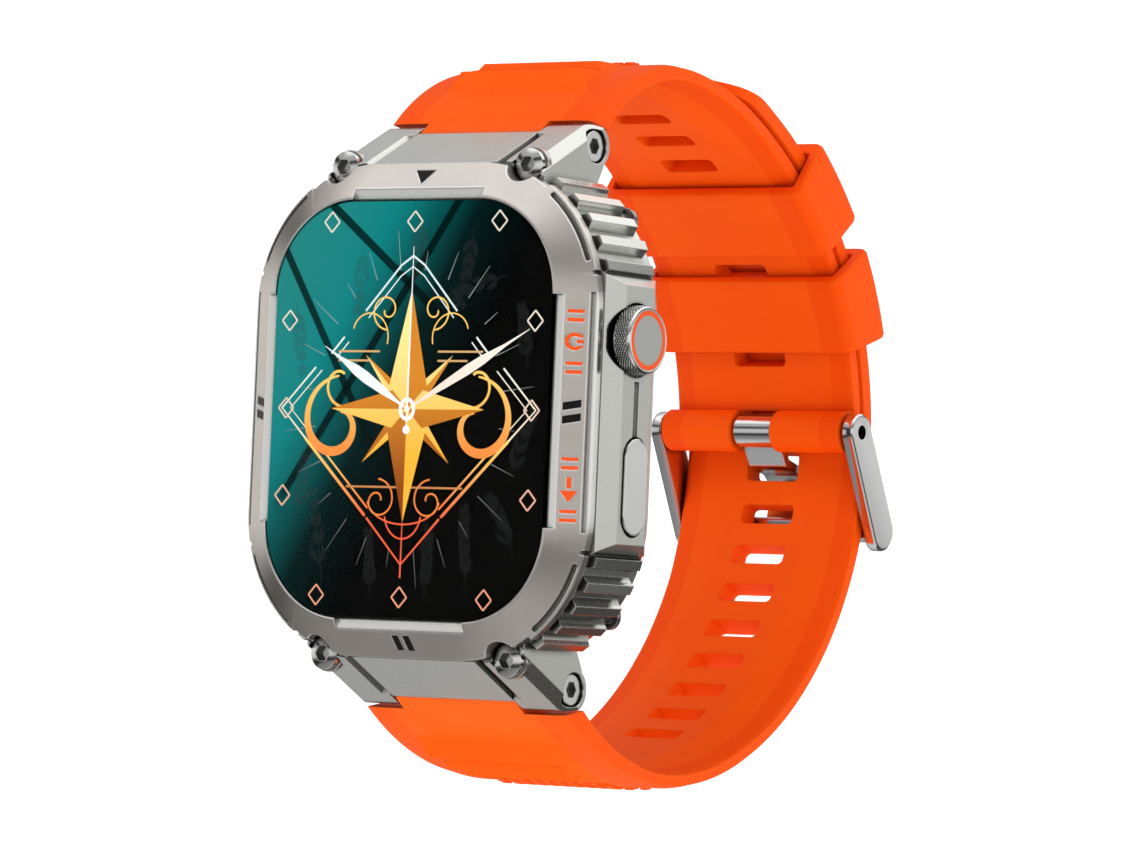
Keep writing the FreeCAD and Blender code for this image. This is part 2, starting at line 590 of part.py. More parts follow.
# ---------------------------------------------------------------- inside the case
def inside_parts():
    frame_y = FRONT_Y + GLASS_T + DISPLAY_T
    frame = slab(CAVITY_X - 0.1, CAVITY_Z - 0.1, CAVITY_R - 0.1, frame_y, -10.9)
    frame = frame.cut([box(-13, 13, -12, -10, 1.5, 15.5), box(-13, 13, -12, -10, -15.5, -1.5)])
    save("inner_frame", frame)
    save("battery", box(-14.2, 8.4, -10.8, -6.6, -8.6, 14.6).cut([
        box(-15, -13.4, -11, -6, 13.8, 15), box(7.6, 9, -11, -6, 13.8, 15)]))
    save("main_board", slab(15.4, 19.4, 9.0, -6.2, -5.4).cut([
        box(13.8, 16, -7, -5, 4.4, 10.0), box(15.55, 16, -7, -5, -12, -2)]))
    shield = box(-9.5, 4.5, -5.4, -3.9, -4.0, 9.0)
    save("board_shield", shield.cut(box(-9.2, 4.2, -5.5, -4.2, -3.7, 8.7)))
    motor_x, motor_z = -9.0, -14.4
    can = rod_y(4.0, motor_x, motor_z, -10.4, -7.4)
    can = can.cut(rod_y(3.6, motor_x, motor_z, -10.1, -7.7))
    post = rod_y(0.5, motor_x, motor_z, -10.1, -7.7)
    save("motor_can", can.fuse(post).removeSplitter())
    rotor = rod_y(3.3, motor_x, motor_z, -9.8, -8.0).cut(rod_y(0.5 + RUNNING, motor_x, motor_z, -11, -7))
    notch = box(motor_x - 4, motor_x + 4, -9.3, -7.5, motor_z + 0.9, motor_z + 4)
    save("motor_rotor", rotor.cut(notch))
    speaker = box(0.5, 12.5, -10.4, -7.4, -18.2, -10.6)
    save("speaker", speaker.cut(box(2.0, 11.0, -11, -9.9, -16.9, -11.9)))


# ---------------------------------------------------------------- band
ROUND = (LOOP_Y, 0.0)
BLEND_C = continued(ROUND, UPPER_R, BLEND_FROM, BLEND_R)


def width_plan():
    """The band's plan: wide beside the case, narrower round the back."""
    side = [(BAND_WIDE, -20), (BAND_WIDE, TAPER_FROM_Y), (BAND_NARROW, TAPER_TO_Y), (BAND_NARROW, 70)]
    return prism_z(side + [(-x, y) for x, y in reversed(side)], -50, 50)


def front_end(centre, radius, degrees, target):
    """The arc of a strap's face from the top of the band to its end beside the lug."""
    r = radius_to(centre, radius, degrees, target)
    c = continued(centre, radius, degrees, r)
    return arc_yz(c, r, degrees, angle_of(c, target))


def eye_and_bars():
    """The strap's barrel round its bar, the cheek in front of it and the raised bars on its face."""
    barrel = rod_x(EYE_R, BAR_Y, BAR_Z, -7.3, 7.3)
    cheek = prism_x([LUG_TANGENT, LUG_OUTER, (0.5, 31.0), LUG_INNER, (-0.1, 26.4), (BAR_Y, BAR_Z)], -7.3, 7.3)
    bars = [prism_x([(1.6, 31.0), (2.5, 33.0), (3.3, 33.4), (5.4, 33.6), (5.7, 32.6)], -7.5, 7.5),
            prism_x([(4.6, 32.8), (5.5, 34.3), (6.3, 34.75), (8.6, 35.0), (8.8, 33.8)], -7.5, 7.5)]
    return [barrel, cheek] + bars


def slot(degrees, centre, radius, long=SLOT_LONG, depth=THICK + 2):
    """A cutter for one slot across a layer of the band, whose inner face has the given radius."""
    half = math.degrees(long / 2 / (radius + THICK / 2))
    start = radius - (depth - THICK) / 2
    return ring_piece(start, start + depth, degrees - half, degrees + half, -SLOT_X, SLOT_X, centre)


def finish_eye(strap):
    for side in (-1, 1):
        x0, x1 = sorted((side * (LUG_IN - 0.15), side * 20))
        strap = strap.cut(rod_x(EYE_GAP_R, BAR_Y, BAR_Z, x0, x1))
    return strap.cut(rod_x(BAR_R + 0.02, BAR_Y, BAR_Z, -20, 20))


def front_edges(outer, inner):
    """The strap's end beside the lug, from its outer face round the bar's place to its inner face."""
    side = math.copysign(1, outer[1])
    bar = (BAR_Y, side * BAR_Z)
    corner = (-0.1, side * 26.4)
    return [line_yz(outer, bar), line_yz(bar, corner), line_yz(corner, inner)]


def strap_upper():
    r_in, r_out = UPPER_R, UPPER_R + THICK
    blend_in, blend_out = BLEND_R, BLEND_R + THICK
    edges = [
        front_end(BLEND_C, blend_in, BLEND_TO, LUG_INNER),
        arc_yz(BLEND_C, blend_in, BLEND_TO, BLEND_FROM),
        arc_yz(ROUND, r_in, BLEND_FROM, PIN_ANGLE),
        line_yz(on_circle(ROUND, r_in, PIN_ANGLE), on_circle(ROUND, r_out, PIN_ANGLE)),
        arc_yz(ROUND, r_out, PIN_ANGLE, BLEND_FROM),
        arc_yz(BLEND_C, blend_out, BLEND_FROM, BLEND_TO),
        front_end(BLEND_C, blend_out, BLEND_TO, LUG_OUTER),
    ] + front_edges(LUG_OUTER, LUG_INNER)
    body = sheet_x(edges, -BAND_WIDE, BAND_WIDE).common(width_plan())
    pin = on_circle(ROUND, PIN_LOOP_R, PIN_ANGLE)
    body = body.fuse(eye_and_bars() + [rod_x(ROLL_R, *pin, -ROLL_X, ROLL_X)])
    half = KNUCKLE_X + 0.25
    body = body.cut(ring_piece(26, 40, -2, PIN_ANGLE + 4.0, -half, half))
    body = body.cut(rod_x(PIN_R + RUNNING, *pin, -20, 20))
    body = body.cut([slot(a, ROUND, UPPER_R, depth=THICK + 0.3) for a in UPPER_SLOTS])
    body = body.cut([slot(a, BLEND_C, BLEND_R, depth=THICK + 0.3) for a in UPPER_BLEND_SLOTS])
    return finish_eye(body)


def tail():
    """The free end of the lower strap, outside the upper strap."""
    r_in, r_out = LOWER_R, LOWER_R + THICK
    blend_in = BLEND_R + THICK + LAYER_GAP
    blend_out = blend_in + THICK
    tip_in = on_circle(BLEND_C, blend_in, TAIL_TIP)
    tip_out = on_circle(BLEND_C, blend_in + TAIL_TIP_T, TAIL_TIP)
    shoulder = TAIL_TIP - 3
    edges = [
        arc_yz(ROUND, r_in, 0, BLEND_FROM),
        arc_yz(BLEND_C, blend_in, BLEND_FROM, TAIL_TIP),
        line_yz(tip_in, tip_out),
        line_yz(tip_out, on_circle(BLEND_C, blend_out, shoulder)),
        arc_yz(BLEND_C, blend_out, shoulder, BLEND_FROM),
        arc_yz(ROUND, r_out, BLEND_FROM, 0),
        line_yz(on_circle(ROUND, r_out, 0), on_circle(ROUND, r_in, 0)),
    ]
    tip_y = tip_in[0]
    plan = prism_z([(-BAND_NARROW, 70), (-BAND_NARROW, tip_y + 5), (-6, tip_y), (6, tip_y),
                    (BAND_NARROW, tip_y + 5), (BAND_NARROW, 70)], -5, 60)
    body = sheet_x(edges, -BAND_NARROW, BAND_NARROW).common(plan)
    body = body.cut([slot(a, ROUND, LOWER_R) for a in TAIL_SLOTS])
    return body.cut([slot(a, BLEND_C, blend_in) for a in TAIL_BLEND_SLOTS])


def strap_lower():
    r_in, r_out = LOWER_R, LOWER_R + THICK
    inner, outer = (LUG_INNER[0], -LUG_INNER[1]), (LUG_OUTER[0], -LUG_OUTER[1])
    edges = [
        front_end(ROUND, r_in, -90, inner),
        arc_yz(ROUND, r_in, -90, 0),
        line_yz(on_circle(ROUND, r_in, 0), on_circle(ROUND, r_out, 0)),
        arc_yz(ROUND, r_out, 0, -90),
        front_end(ROUND, r_out, -90, outer),
    ] + front_edges(outer, inner)
    front = sheet_x(edges, -BAND_WIDE, BAND_WIDE).common(width_plan())
    front = front.fuse([mirror_z(s) for s in eye_and_bars()])
    front = mirror_z(finish_eye(mirror_z(front)))
    body = front.fuse(tail()).removeSplitter()
    body = body.cut(slot(TONGUE_HOLE, ROUND, LOWER_R, long=TONGUE_HOLE_LONG))
    return body.cut([slot(a, ROUND, LOWER_R) for a in LOWER_SLOTS])


# ---------------------------------------------------------------- keepers and buckle
def keeper(start, end, centre, band_r):
    """A loop round both layers of the band, with room to slide along it."""
    outer_band_r = band_r + 2 * THICK + LAYER_GAP
    tunnel = ring_piece(band_r - 0.2, outer_band_r + 0.2, start - 2, end + 2,
                        -KEEPER_TUNNEL_X, KEEPER_TUNNEL_X, centre)
    inner_r, outer_r = band_r - 1.3, outer_band_r + 1.9
    steps = [(0.0, 0.9), (0.3, 0.45), (0.9, 0.0)]
    layers = [ring_piece(inner_r + rise, outer_r - rise, start, end, inset - KEEPER_X, KEEPER_X - inset, centre)
              for rise, inset in steps]
    return joined(layers).cut(tunnel)


def link(a, ra, b, rb, x0, x1):
    """A flat arm between two round ends in the YZ plane."""
    along = math.degrees(math.atan2(b[1] - a[1], b[0] - a[0]))
    gap = math.hypot(b[0] - a[0], b[1] - a[1])
    lean = math.degrees(math.acos((ra - rb) / gap))
    points = [on_circle(a, ra, along + lean), on_circle(b, rb, along + lean),
              on_circle(b, rb, along - lean), on_circle(a, ra, along - lean)]
    return joined([prism_x(points, x0, x1), rod_x(ra, *a, x0, x1), rod_x(rb, *b, x0, x1)])


def buckle_parts():
    pin = on_circle(ROUND, PIN_LOOP_R, PIN_ANGLE)
    cross = on_circle(ROUND, CROSS_LOOP_R, CROSS_ANGLE)
    arms = [link(pin, 1.95, cross, 1.35, *sorted((side * ARM_IN, side * ARM_OUT))) for side in (-1, 1)]
    bar = ring_piece(CROSS_LOOP_R - 0.9, CROSS_LOOP_R + 0.9, CROSS_ANGLE - 1.7, CROSS_ANGLE + 1.7, -ARM_OUT, ARM_OUT)
    rest = ring_piece(CROSS_LOOP_R, CROSS_LOOP_R + 2, CROSS_ANGLE - 3, CROSS_ANGLE + 3, -2.6, 2.6)
    frame = joined(arms + [bar]).cut(rest)
    frame = frame.cut(rod_x(PIN_R, *pin, -20, 20))
    save("buckle_frame", frame)
    save("buckle_pin", rod_x(PIN_R, *pin, -ARM_OUT, ARM_OUT))
    top_r = CROSS_LOOP_R + TONGUE_T / 2 + 0.12
    path = [on_circle(pin, 1.25, 300), (50.6, -1.75), (53.4, -2.55), on_circle(ROUND, top_r + 0.15, -6.3),
            on_circle(ROUND, top_r, CROSS_ANGLE - 1.9)]
    pieces = [rod_x(1.75, *pin, -KNUCKLE_X, KNUCKLE_X)]
    for a, b in zip(path, path[1:]):
        pieces.append(strip(a, b, TONGUE_T / 2, -KNUCKLE_X, KNUCKLE_X))
    for corner in path[1:-1]:
        pieces.append(rod_x(TONGUE_T / 2, *corner, -KNUCKLE_X, KNUCKLE_X))
    save("buckle_tongue", joined(pieces).cut(rod_x(PIN_R + RUNNING, *pin, -20, 20)))


def strip(a, b, half, x0, x1):
    """A flat plate between two points of the YZ plane."""
    dy, dz = b[0] - a[0], b[1] - a[1]
    length = math.hypot(dy, dz)
    ny, nz = -dz / length * half, dy / length * half
    return prism_x([(a[0] + ny, a[1] + nz), (b[0] + ny, b[1] + nz), (b[0] - ny, b[1] - nz), (a[0] - ny, a[1] - nz)],
                   x0, x1)


def main():
    front_parts()
    save("mid_case", mid_case())
    back_parts()
    lug_parts()
    crown_parts()
    button_parts()
    inside_parts()
    save("strap_upper", strap_upper())
    save("strap_lower", strap_lower())
    save("keeper_upper", keeper(*UPPER_KEEPER, BLEND_C, BLEND_R))
    save("keeper_lower", keeper(*LOWER_KEEPER, ROUND, UPPER_R))
    buckle_parts()
    os.makedirs("parts", exist_ok=True)
    for name, shape in NODES.items():
        shape.exportStep(os.path.join("parts", name + ".step"))
        solids = shape.Solids
        print(f"{name:20s} solids {len(solids)} volume {shape.Volume:9.2f} valid {shape.isValid()}")


main()
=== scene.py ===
"""Sports watch on a buckled silicone band: the look of each piece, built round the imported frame.

Axes: X to the crown side, Y from the dial into the wrist, Z towards twelve o'clock. Blender lengths
are metres; the tables of band and dial sizes are millimetres and pass through mm().
"""

import math
import random

import bmesh
import bpy
from bpy.props import FloatProperty, FloatVectorProperty, IntProperty, PointerProperty
from mathutils import Matrix, Vector


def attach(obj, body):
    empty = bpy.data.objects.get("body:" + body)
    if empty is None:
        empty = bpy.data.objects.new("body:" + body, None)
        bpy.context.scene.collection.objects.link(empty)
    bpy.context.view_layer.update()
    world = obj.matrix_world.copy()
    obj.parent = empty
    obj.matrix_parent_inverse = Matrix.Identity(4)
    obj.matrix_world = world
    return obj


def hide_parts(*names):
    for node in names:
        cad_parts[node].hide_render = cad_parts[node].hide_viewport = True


bl_info = {
    "name": "Sports watch",
    "version": (1, 0, 0),
    "blender": (4, 5, 0),
    "location": "3D View > Sidebar > Watch",
    "description": "Case, dial, crown, silicone band and buckle of a sports watch",
    "category": "Add Mesh",
}

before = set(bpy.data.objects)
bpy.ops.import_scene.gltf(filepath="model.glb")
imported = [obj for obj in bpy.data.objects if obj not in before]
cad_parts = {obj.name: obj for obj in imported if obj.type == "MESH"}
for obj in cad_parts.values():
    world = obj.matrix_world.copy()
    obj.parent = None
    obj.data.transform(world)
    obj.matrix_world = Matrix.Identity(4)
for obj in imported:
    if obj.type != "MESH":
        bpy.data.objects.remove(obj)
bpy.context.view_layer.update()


def mm(*values):
    return tuple(v / 1000 for v in values) if len(values) > 1 else values[0] / 1000


# ---------------------------------------------------------------- node trees
class Amount:
    """A number in a node tree that takes part in ordinary arithmetic."""

    def __init__(self, nodes, socket):
        self.nodes = nodes
        self.socket = socket

    def __add__(self, other):
        return self.nodes.maths("ADD", self, other)

    def __sub__(self, other):
        return self.nodes.maths("SUBTRACT", self, other)

    def __rsub__(self, other):
        return self.nodes.maths("SUBTRACT", other, self)

    def __mul__(self, other):
        return self.nodes.maths("MULTIPLY", self, other)

    def __truediv__(self, other):
        return self.nodes.maths("DIVIDE", self, other)

    def __mod__(self, other):
        return self.nodes.maths("FLOORED_MODULO", self, other)

    def __abs__(self):
        return self.nodes.maths("ABSOLUTE", self)

    def floor(self):
        return self.nodes.maths("FLOOR", self)

    def cos(self):
        return self.nodes.maths("COSINE", self)

    def sin(self):
        return self.nodes.maths("SINE", self)

    def most(self, other):
        return self.nodes.maths("MAXIMUM", self, other)

    def rise(self, low, high):
        """0 below low, 1 above high and a smooth climb between."""
        made = self.nodes.node("ShaderNodeMapRange", {"interpolation_type": "SMOOTHSTEP"},
                               {"Value": self, "From Min": low, "From Max": high})
        return Amount(self.nodes, made.outputs["Result"])

    __radd__ = __add__
    __rmul__ = __mul__


class Nodes:
    """A node tree and the one way nodes are added to it."""

    def __init__(self, tree):
        self.tree = tree

    def node(self, kind, settings=None, sockets=None):
        made = self.tree.nodes.new(kind)
        for name, value in (settings or {}).items():
            if name == "stops":
                ramp = made.color_ramp
                while len(ramp.elements) < len(value):
                    ramp.elements.new(0.5)
                for element, (place, colour) in zip(ramp.elements, value):
                    element.position = place
                    element.color = (*colour, 1)
            else:
                setattr(made, name, value)
        for name, value in (sockets or {}).items():
            self.feed(made.inputs[name], value)
        return made

    def feed(self, socket, value):
        if isinstance(value, Amount):
            self.tree.links.new(value.socket, socket)
        elif isinstance(value, bpy.types.NodeSocket):
            self.tree.links.new(value, socket)
        else:
            socket.default_value = value

    def maths(self, operation, *values):
        made = self.node("ShaderNodeMath", {"operation": operation}, dict(enumerate(values)))
        return Amount(self, made.outputs[0])


class Finish(Nodes):
    """A material with one principled shader."""

    def __init__(self, name, **constants):
        self.material = bpy.data.materials.new(name)
        self.material.use_nodes = True
        super().__init__(self.material.node_tree)
        self.tree.nodes.clear()
        self.shader = self.node("ShaderNodeBsdfPrincipled")
        output = self.node("ShaderNodeOutputMaterial")
        self.tree.links.new(self.shader.outputs[0], output.inputs["Surface"])
        for socket, value in constants.items():
            self.shader.inputs[socket.replace("_", " ")].default_value = value
        self.place = self.node("ShaderNodeTexCoord").outputs["Object"]

    def axes(self):
        """The piece's own X, Y and Z in metres."""
        split = self.node("ShaderNodeSeparateXYZ", {}, {0: self.place})
        return [Amount(self, o) for o in split.outputs]

    def noise(self, size, detail=2.0, rough=0.5):
        """Soft noise with features of the given size in metres."""
        made = self.node("ShaderNodeTexNoise", {}, {"Vector": self.place, "Scale": 1.0 / size,
                                                    "Detail": detail, "Roughness": rough})
        return Amount(self, made.outputs["Fac"])

    def mix(self, share, a, b, way="MIX"):
        made = self.node("ShaderNodeMix", {"data_type": "RGBA", "blend_type": way}, {0: share, 6: a, 7: b})
        return made.outputs[2]

    def ramp(self, amount, stops):
        made = self.node("ShaderNodeValToRGB", {"stops": stops}, {"Fac": amount})
        return made.outputs["Color"]

    def rounded(self, radius):
        """The surface direction with its edges rounded off, and a mask of where they are."""
        soft = self.node("ShaderNodeBevel", {"samples": 4}, {"Radius": radius}).outputs["Normal"]
        plain = self.node("ShaderNodeNewGeometry").outputs["Normal"]
        dot = self.node("ShaderNodeVectorMath", {"operation": "DOT_PRODUCT"}, {0: soft, 1: plain})
        return soft, (1.0 - Amount(self, dot.outputs["Value"])).rise(0.01, 0.12)

    def hollow(self, reach):
        """1 deep in a crevice and 0 on open faces: the mask for painted shade."""
        made = self.node("ShaderNodeAmbientOcclusion", {"samples": 6, "only_local": False},
                         {"Distance": reach})
        return (1.0 - Amount(self, made.outputs["AO"])).rise(0.12, 0.62)

    def set(self, **sockets):
        for name, value in sockets.items():
            self.feed(self.shader.inputs[name.replace("_", " ")], value)
        return self

    def bump(self, height, distance, strength=1.0, under=None):
        sockets = {"Height": height, "Distance": distance, "Strength": strength}
        if under is not None:
            sockets["Normal"] = under
        return self.node("ShaderNodeBump", {}, sockets).outputs["Normal"]


def scaled(colour, factor, lift=0.0):
    """A colour made darker or lighter all over, opaque."""
    return tuple(min(1.0, c * factor + lift) for c in colour[:3]) + (1,)


def weighted(colour, *factors):
    """A colour with its red, green and blue changed by their own factors, opaque."""
    return tuple(min(1.0, c * k) for c, k in zip(colour, factors)) + (1,)


def steel(name, colour, roughness, edge=0.00012, polish=0.12, grain=0.00012, relief=0.000004, spread=0.10,
          crevice=0.0013, polished_highlight_zones=None):
    """Satin or polished steel: a blasted grain, smoother edges and polished zones with a painted highlight,
    and painted shade in crevices.
    """
    f = Finish(name, Metallic=1.0)
    soft, rim = f.rounded(edge)
    fine = f.noise(grain, 3.0, 0.6)
    broad = f.noise(0.006, 2.0)
    tone = f.mix(fine * 0.5 + broad * 0.5, scaled(colour, 1 - spread), scaled(colour, 1 + spread))
    if polished_highlight_zones:
        rim = rim.most(polished_highlight_zones(*f.axes()))
    # painted highlight: the rounded edges and the polished zones turn near white
    tone = f.mix(rim * 0.85, tone, (1.0, 1.0, 0.985, 1))
    # painted shade: darker deep in crevices and between parts
    tone = f.mix(f.hollow(crevice) * 0.8, tone, scaled(colour, 0.10))
    rough = (roughness - 0.04) + fine * 0.06 + broad * 0.03
    rough = rough * (1.0 - rim) + rim * polish
    return f.set(Base_Color=tone, Roughness=rough, Normal=f.bump(fine, relief, 0.5, soft)).material


def moulded(name, colour, roughness, texture=0.0002, relief=0.00001, metallic=0.0, gloss=0.5):
    """Moulded plastic or coated metal with a fine texture and a painted highlight on its edges."""
    f = Finish(name, Metallic=metallic, Specular_IOR_Level=gloss)
    soft, rim = f.rounded(0.0001)
    fine = f.noise(texture, 3.0, 0.6)
    broad = f.noise(0.004, 2.0)
    tone = f.mix(fine * 0.4 + broad * 0.6, scaled(colour, 0.82), scaled(colour, 1.18))
    # painted highlight: the rounded edges turn paler
    tone = f.mix(rim * 0.35, tone, scaled(colour, 1.5, 0.01))
    return f.set(Base_Color=tone, Roughness=(roughness - 0.05) + fine * 0.1,
                 Normal=f.bump(fine, relief, 0.6, soft)).material


def silicone(name, colour):
    """Soft satin silicone: slight cloudiness, a fine mould texture, painted shade on the borders and in
    hollows, and a painted highlight on the edges.
    """
    f = Finish(name, Specular_IOR_Level=0.05)
    soft, rim = f.rounded(0.0002)
    cloud = f.noise(0.007, 2.0)
    fine = f.noise(0.00022, 3.0, 0.55)
    tone = f.mix(cloud * 0.75 + fine * 0.25, weighted(colour, 0.95, 0.86, 0.8),
                 weighted(colour, 1.02, 1.14, 1.4))
    # painted shade: the sloping borders away from the middle are darker, standing in for their shading
    border_shade = abs(f.axes()[0]).rise(0.0085, 0.0088) * 0.55
    tone = f.mix(border_shade, tone, weighted(colour, 0.9, 0.62, 0.6))
    # painted highlight: the rounded edges turn paler
    tone = f.mix(rim * 0.55, tone, weighted(colour, 1.0, 1.9, 4.0))
    # painted shade: darker deep in hollows and between parts
    tone = f.mix(f.hollow(0.0016) * 0.6, tone, weighted(colour, 0.62, 0.4, 0.3))
    return f.set(Base_Color=tone, Roughness=0.44 + fine * 0.1 + cloud * 0.04,
                 Normal=f.bump(fine, 0.000012, 0.35, soft)).material


def glow(name, colour, strength, second=None, span=(-0.012, 0.012)):
    """A lit part of the display, shaded from one colour to another from bottom to top."""
    f = Finish(name, Emission_Strength=strength, Roughness=0.4, Specular_IOR_Level=0.0)
    climb = f.axes()[2].rise(*span)
    fine = f.noise(0.0006, 1.0) * 0.15
    tone = f.mix((climb + fine - 0.07).most(0.0), second or colour, colour)
    return f.set(Base_Color=(0.0, 0.0, 0.0, 1), Emission_Color=tone).material


# ---------------------------------------------------------------- mesh helpers
def mesh_object(name, bm, material, smooth=30.0):
    """A finished object from a bmesh: normals outwards, smooth up to the given angle."""
    bmesh.ops.recalc_face_normals(bm, faces=bm.faces)
    mesh = bpy.data.meshes.new(name)
    bm.to_mesh(mesh)
    bm.free()
    made = bpy.data.objects.new(name, mesh)
    bpy.context.scene.collection.objects.link(made)
    if material:
        mesh.materials.append(material)
    shade(made, smooth)
    return made


def shade(made, degrees):
    mesh = made.data
    mesh.polygons.foreach_set("use_smooth", [True] * len(mesh.polygons))
    mesh.set_sharp_from_angle(angle=math.radians(degrees))
    mesh.update()


def settle(made, smooth=30.0):
    """The object's modifiers become its plain mesh."""
    graph = bpy.context.evaluated_depsgraph_get()
    graph.update()
    mesh = bpy.data.meshes.new_from_object(made.evaluated_get(graph), depsgraph=graph)
    if not mesh.polygons:
        raise RuntimeError(made.name + " came out empty")
    made.modifiers.clear()
    made.data = mesh
    shade(made, smooth)
    return made


def combine(made, other, way, smooth=30.0):
    """Joins another closed mesh to the object, or cuts it away, and drops the other."""
    step = made.modifiers.new(way.lower(), "BOOLEAN")
    step.operation = way
    step.solver = "EXACT"
    step.object = other
    settle(made, smooth)
    bpy.data.objects.remove(other)
    return made


def bevelled(made, width):
    """Rounds the object's edges."""
    step = made.modifiers.new("edges", "BEVEL")
    step.width = width
    step.segments = 4
    step.limit_method = "ANGLE"
    step.angle_limit = math.radians(35)
    return settle(made)


def skin(bm, loops, closed=False):
    """Joins loops of points, each as long as the next, with four-sided faces."""
    rows = [[bm.verts.new(p) for p in loop] for loop in loops]
    count = len(rows[0])
    pairs = list(zip(rows, rows[1:])) + ([(rows[-1], rows[0])] if closed else [])
    for a, b in pairs:
        for i in range(count):
            j = (i + 1) % count
            bm.faces.new((a[i], a[j], b[j], b[i]))
    if not closed:
        bm.faces.new(rows[0])
        bm.faces.new(rows[-1][::-1])


def prism(bm, outline, x0, x1):
    """A polygon of the YZ plane, in millimetres, carried along X."""
    skin(bm, [[mm(x, y, z) for y, z in outline] for x in (x0, x1)])


def on_circle(centre, radius, degrees):
    a = math.radians(degrees)
    return centre[0] + radius * math.cos(a), centre[1] + radius * math.sin(a)


def disc(centre, radius, count=48):
    return [on_circle(centre, radius, 360 * i / count) for i in range(count)]


def hull(points):
    """The outline round a set of points."""
    points = sorted(set(points))

    def half(run):
        kept = []
        for p in run:
            while len(kept) > 1 and ((kept[-1][0] - kept[-2][0]) * (p[1] - kept[-2][1])
                                     - (kept[-1][1] - kept[-2][1]) * (p[0] - kept[-2][0])) <= 0:
                kept.pop()
            kept.append(p)
        return kept[:-1]

    return half(points) + half(points[::-1])


def dress(material, *nodes):
    """Gives frame nodes their finish."""
    for name in nodes:
        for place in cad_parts[name].material_slots:
            place.material = material


def stands_for(piece, body, slot, *nodes):
    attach(piece, body)
    if nodes:
        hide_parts(*nodes)
    return piece


# ---------------------------------------------------------------- repeats
class Recipe(Nodes):
    """A geometry node tree with named inputs that ends in real, painted geometry."""

    def __init__(self, name, inputs):
        super().__init__(bpy.data.node_groups.new(name, "GeometryNodeTree"))
        self.tree.is_modifier = True
        self.tree.interface.new_socket("Geometry", in_out="OUTPUT", socket_type="NodeSocketGeometry")
        for label, kind in inputs:
            self.tree.interface.new_socket(label, in_out="INPUT", socket_type="NodeSocket" + kind)
        self.start = self.node("NodeGroupInput")

    def given(self, label):
        return Amount(self, self.start.outputs[label])

    def finish(self, instances, material):
        real = self.node("GeometryNodeRealizeInstances", {}, {0: instances}).outputs[0]
        painted = self.node("GeometryNodeSetMaterial", {},
                            {"Geometry": real, "Material": material}).outputs[0]
        end = self.node("NodeGroupOutput")
        self.tree.links.new(painted, end.inputs[0])
        return self.tree


def rows_round_x():
    """Copies of a piece in rows round an axis parallel to X, each turned to face outwards."""
    r = Recipe("rows_round_x", [("Piece", "Object"), ("Along", "Int"), ("Around", "Int"), ("Radius", "Float"),
                                ("Centre Y", "Float"), ("Centre Z", "Float"), ("First X", "Float"),
                                ("Pitch X", "Float"), ("First Angle", "Float"), ("Pitch Angle", "Float"),
                                ("Stagger", "Float"), ("Finish", "Material")])
    index = Amount(r, r.node("GeometryNodeInputIndex").outputs[0])
    along = r.given("Along")
    column = index % along
    row = ((index + 0.5) / along).floor()
    angle = r.given("First Angle") + row * r.given("Pitch Angle")
    x = r.given("First X") + column * r.given("Pitch X") + (row % 2.0) * r.given("Stagger")
    y = r.given("Centre Y") + r.given("Radius") * angle.cos()
    z = r.given("Centre Z") + r.given("Radius") * angle.sin()
    where = r.node("ShaderNodeCombineXYZ", {}, {0: x, 1: y, 2: z}).outputs[0]
    turn = r.node("ShaderNodeCombineXYZ", {}, {0: angle}).outputs[0]
    points = r.node("GeometryNodePoints", {},
                    {"Count": along * r.given("Around"), "Position": where}).outputs[0]
    piece = r.node("GeometryNodeObjectInfo", {}, {"Object": r.given("Piece")}).outputs["Geometry"]
    copies = r.node("GeometryNodeInstanceOnPoints", {},
                    {"Points": points, "Instance": piece, "Rotation": turn})
    return r.finish(copies.outputs[0], r.given("Finish"))


def fan_round_y():
    """Copies of a piece in a fan about the dial's axis, longer and shorter by turns."""
    r = Recipe("fan_round_y", [("Piece", "Object"), ("Count", "Int"), ("Radius", "Float"),
                               ("Height", "Float"), ("First Angle", "Float"), ("Pitch Angle", "Float"),
                               ("Flatten", "Float"),
                               ("Finish", "Material")])
    index = Amount(r, r.node("GeometryNodeInputIndex").outputs[0])
    angle = r.given("First Angle") + index * r.given("Pitch Angle")
    x = r.given("Radius") * angle.sin() * r.given("Flatten")
    z = r.given("Radius") * angle.cos()
    where = r.node("ShaderNodeCombineXYZ", {}, {0: x, 1: r.given("Height"), 2: z}).outputs[0]
    turn = r.node("ShaderNodeCombineXYZ", {}, {1: angle}).outputs[0]
    size = 0.55 + (index % 3.0) * 0.3
    scale = r.node("ShaderNodeCombineXYZ", {}, {0: 1.0, 1: 1.0, 2: size}).outputs[0]
    points = r.node("GeometryNodePoints", {}, {"Count": r.given("Count"), "Position": where}).outputs[0]
    piece = r.node("GeometryNodeObjectInfo", {}, {"Object": r.given("Piece")}).outputs["Geometry"]
    copies = r.node("GeometryNodeInstanceOnPoints", {}, {"Points": points, "Instance": piece,
                                                         "Rotation": turn, "Scale": scale})
    return r.finish(copies.outputs[0], r.given("Finish"))


def repeat(name, tree, piece, values, smooth=30.0):
    """Runs a tree with the given inputs and keeps the result as a plain mesh."""
    made = bpy.data.objects.new(name, bpy.data.meshes.new(name))
    bpy.context.scene.collection.objects.link(made)
    step = made.modifiers.new("repeat", "NODES")
    step.node_group = tree
    named = {s.name: s.identifier for s in tree.interface.items_tree if getattr(s, "in_out", "") == "INPUT"}
    step[named["Piece"]] = piece
    for label, value in values.items():
        step[named[label]] = value
    settle(made, smooth)
    bpy.data.objects.remove(piece)
    return made


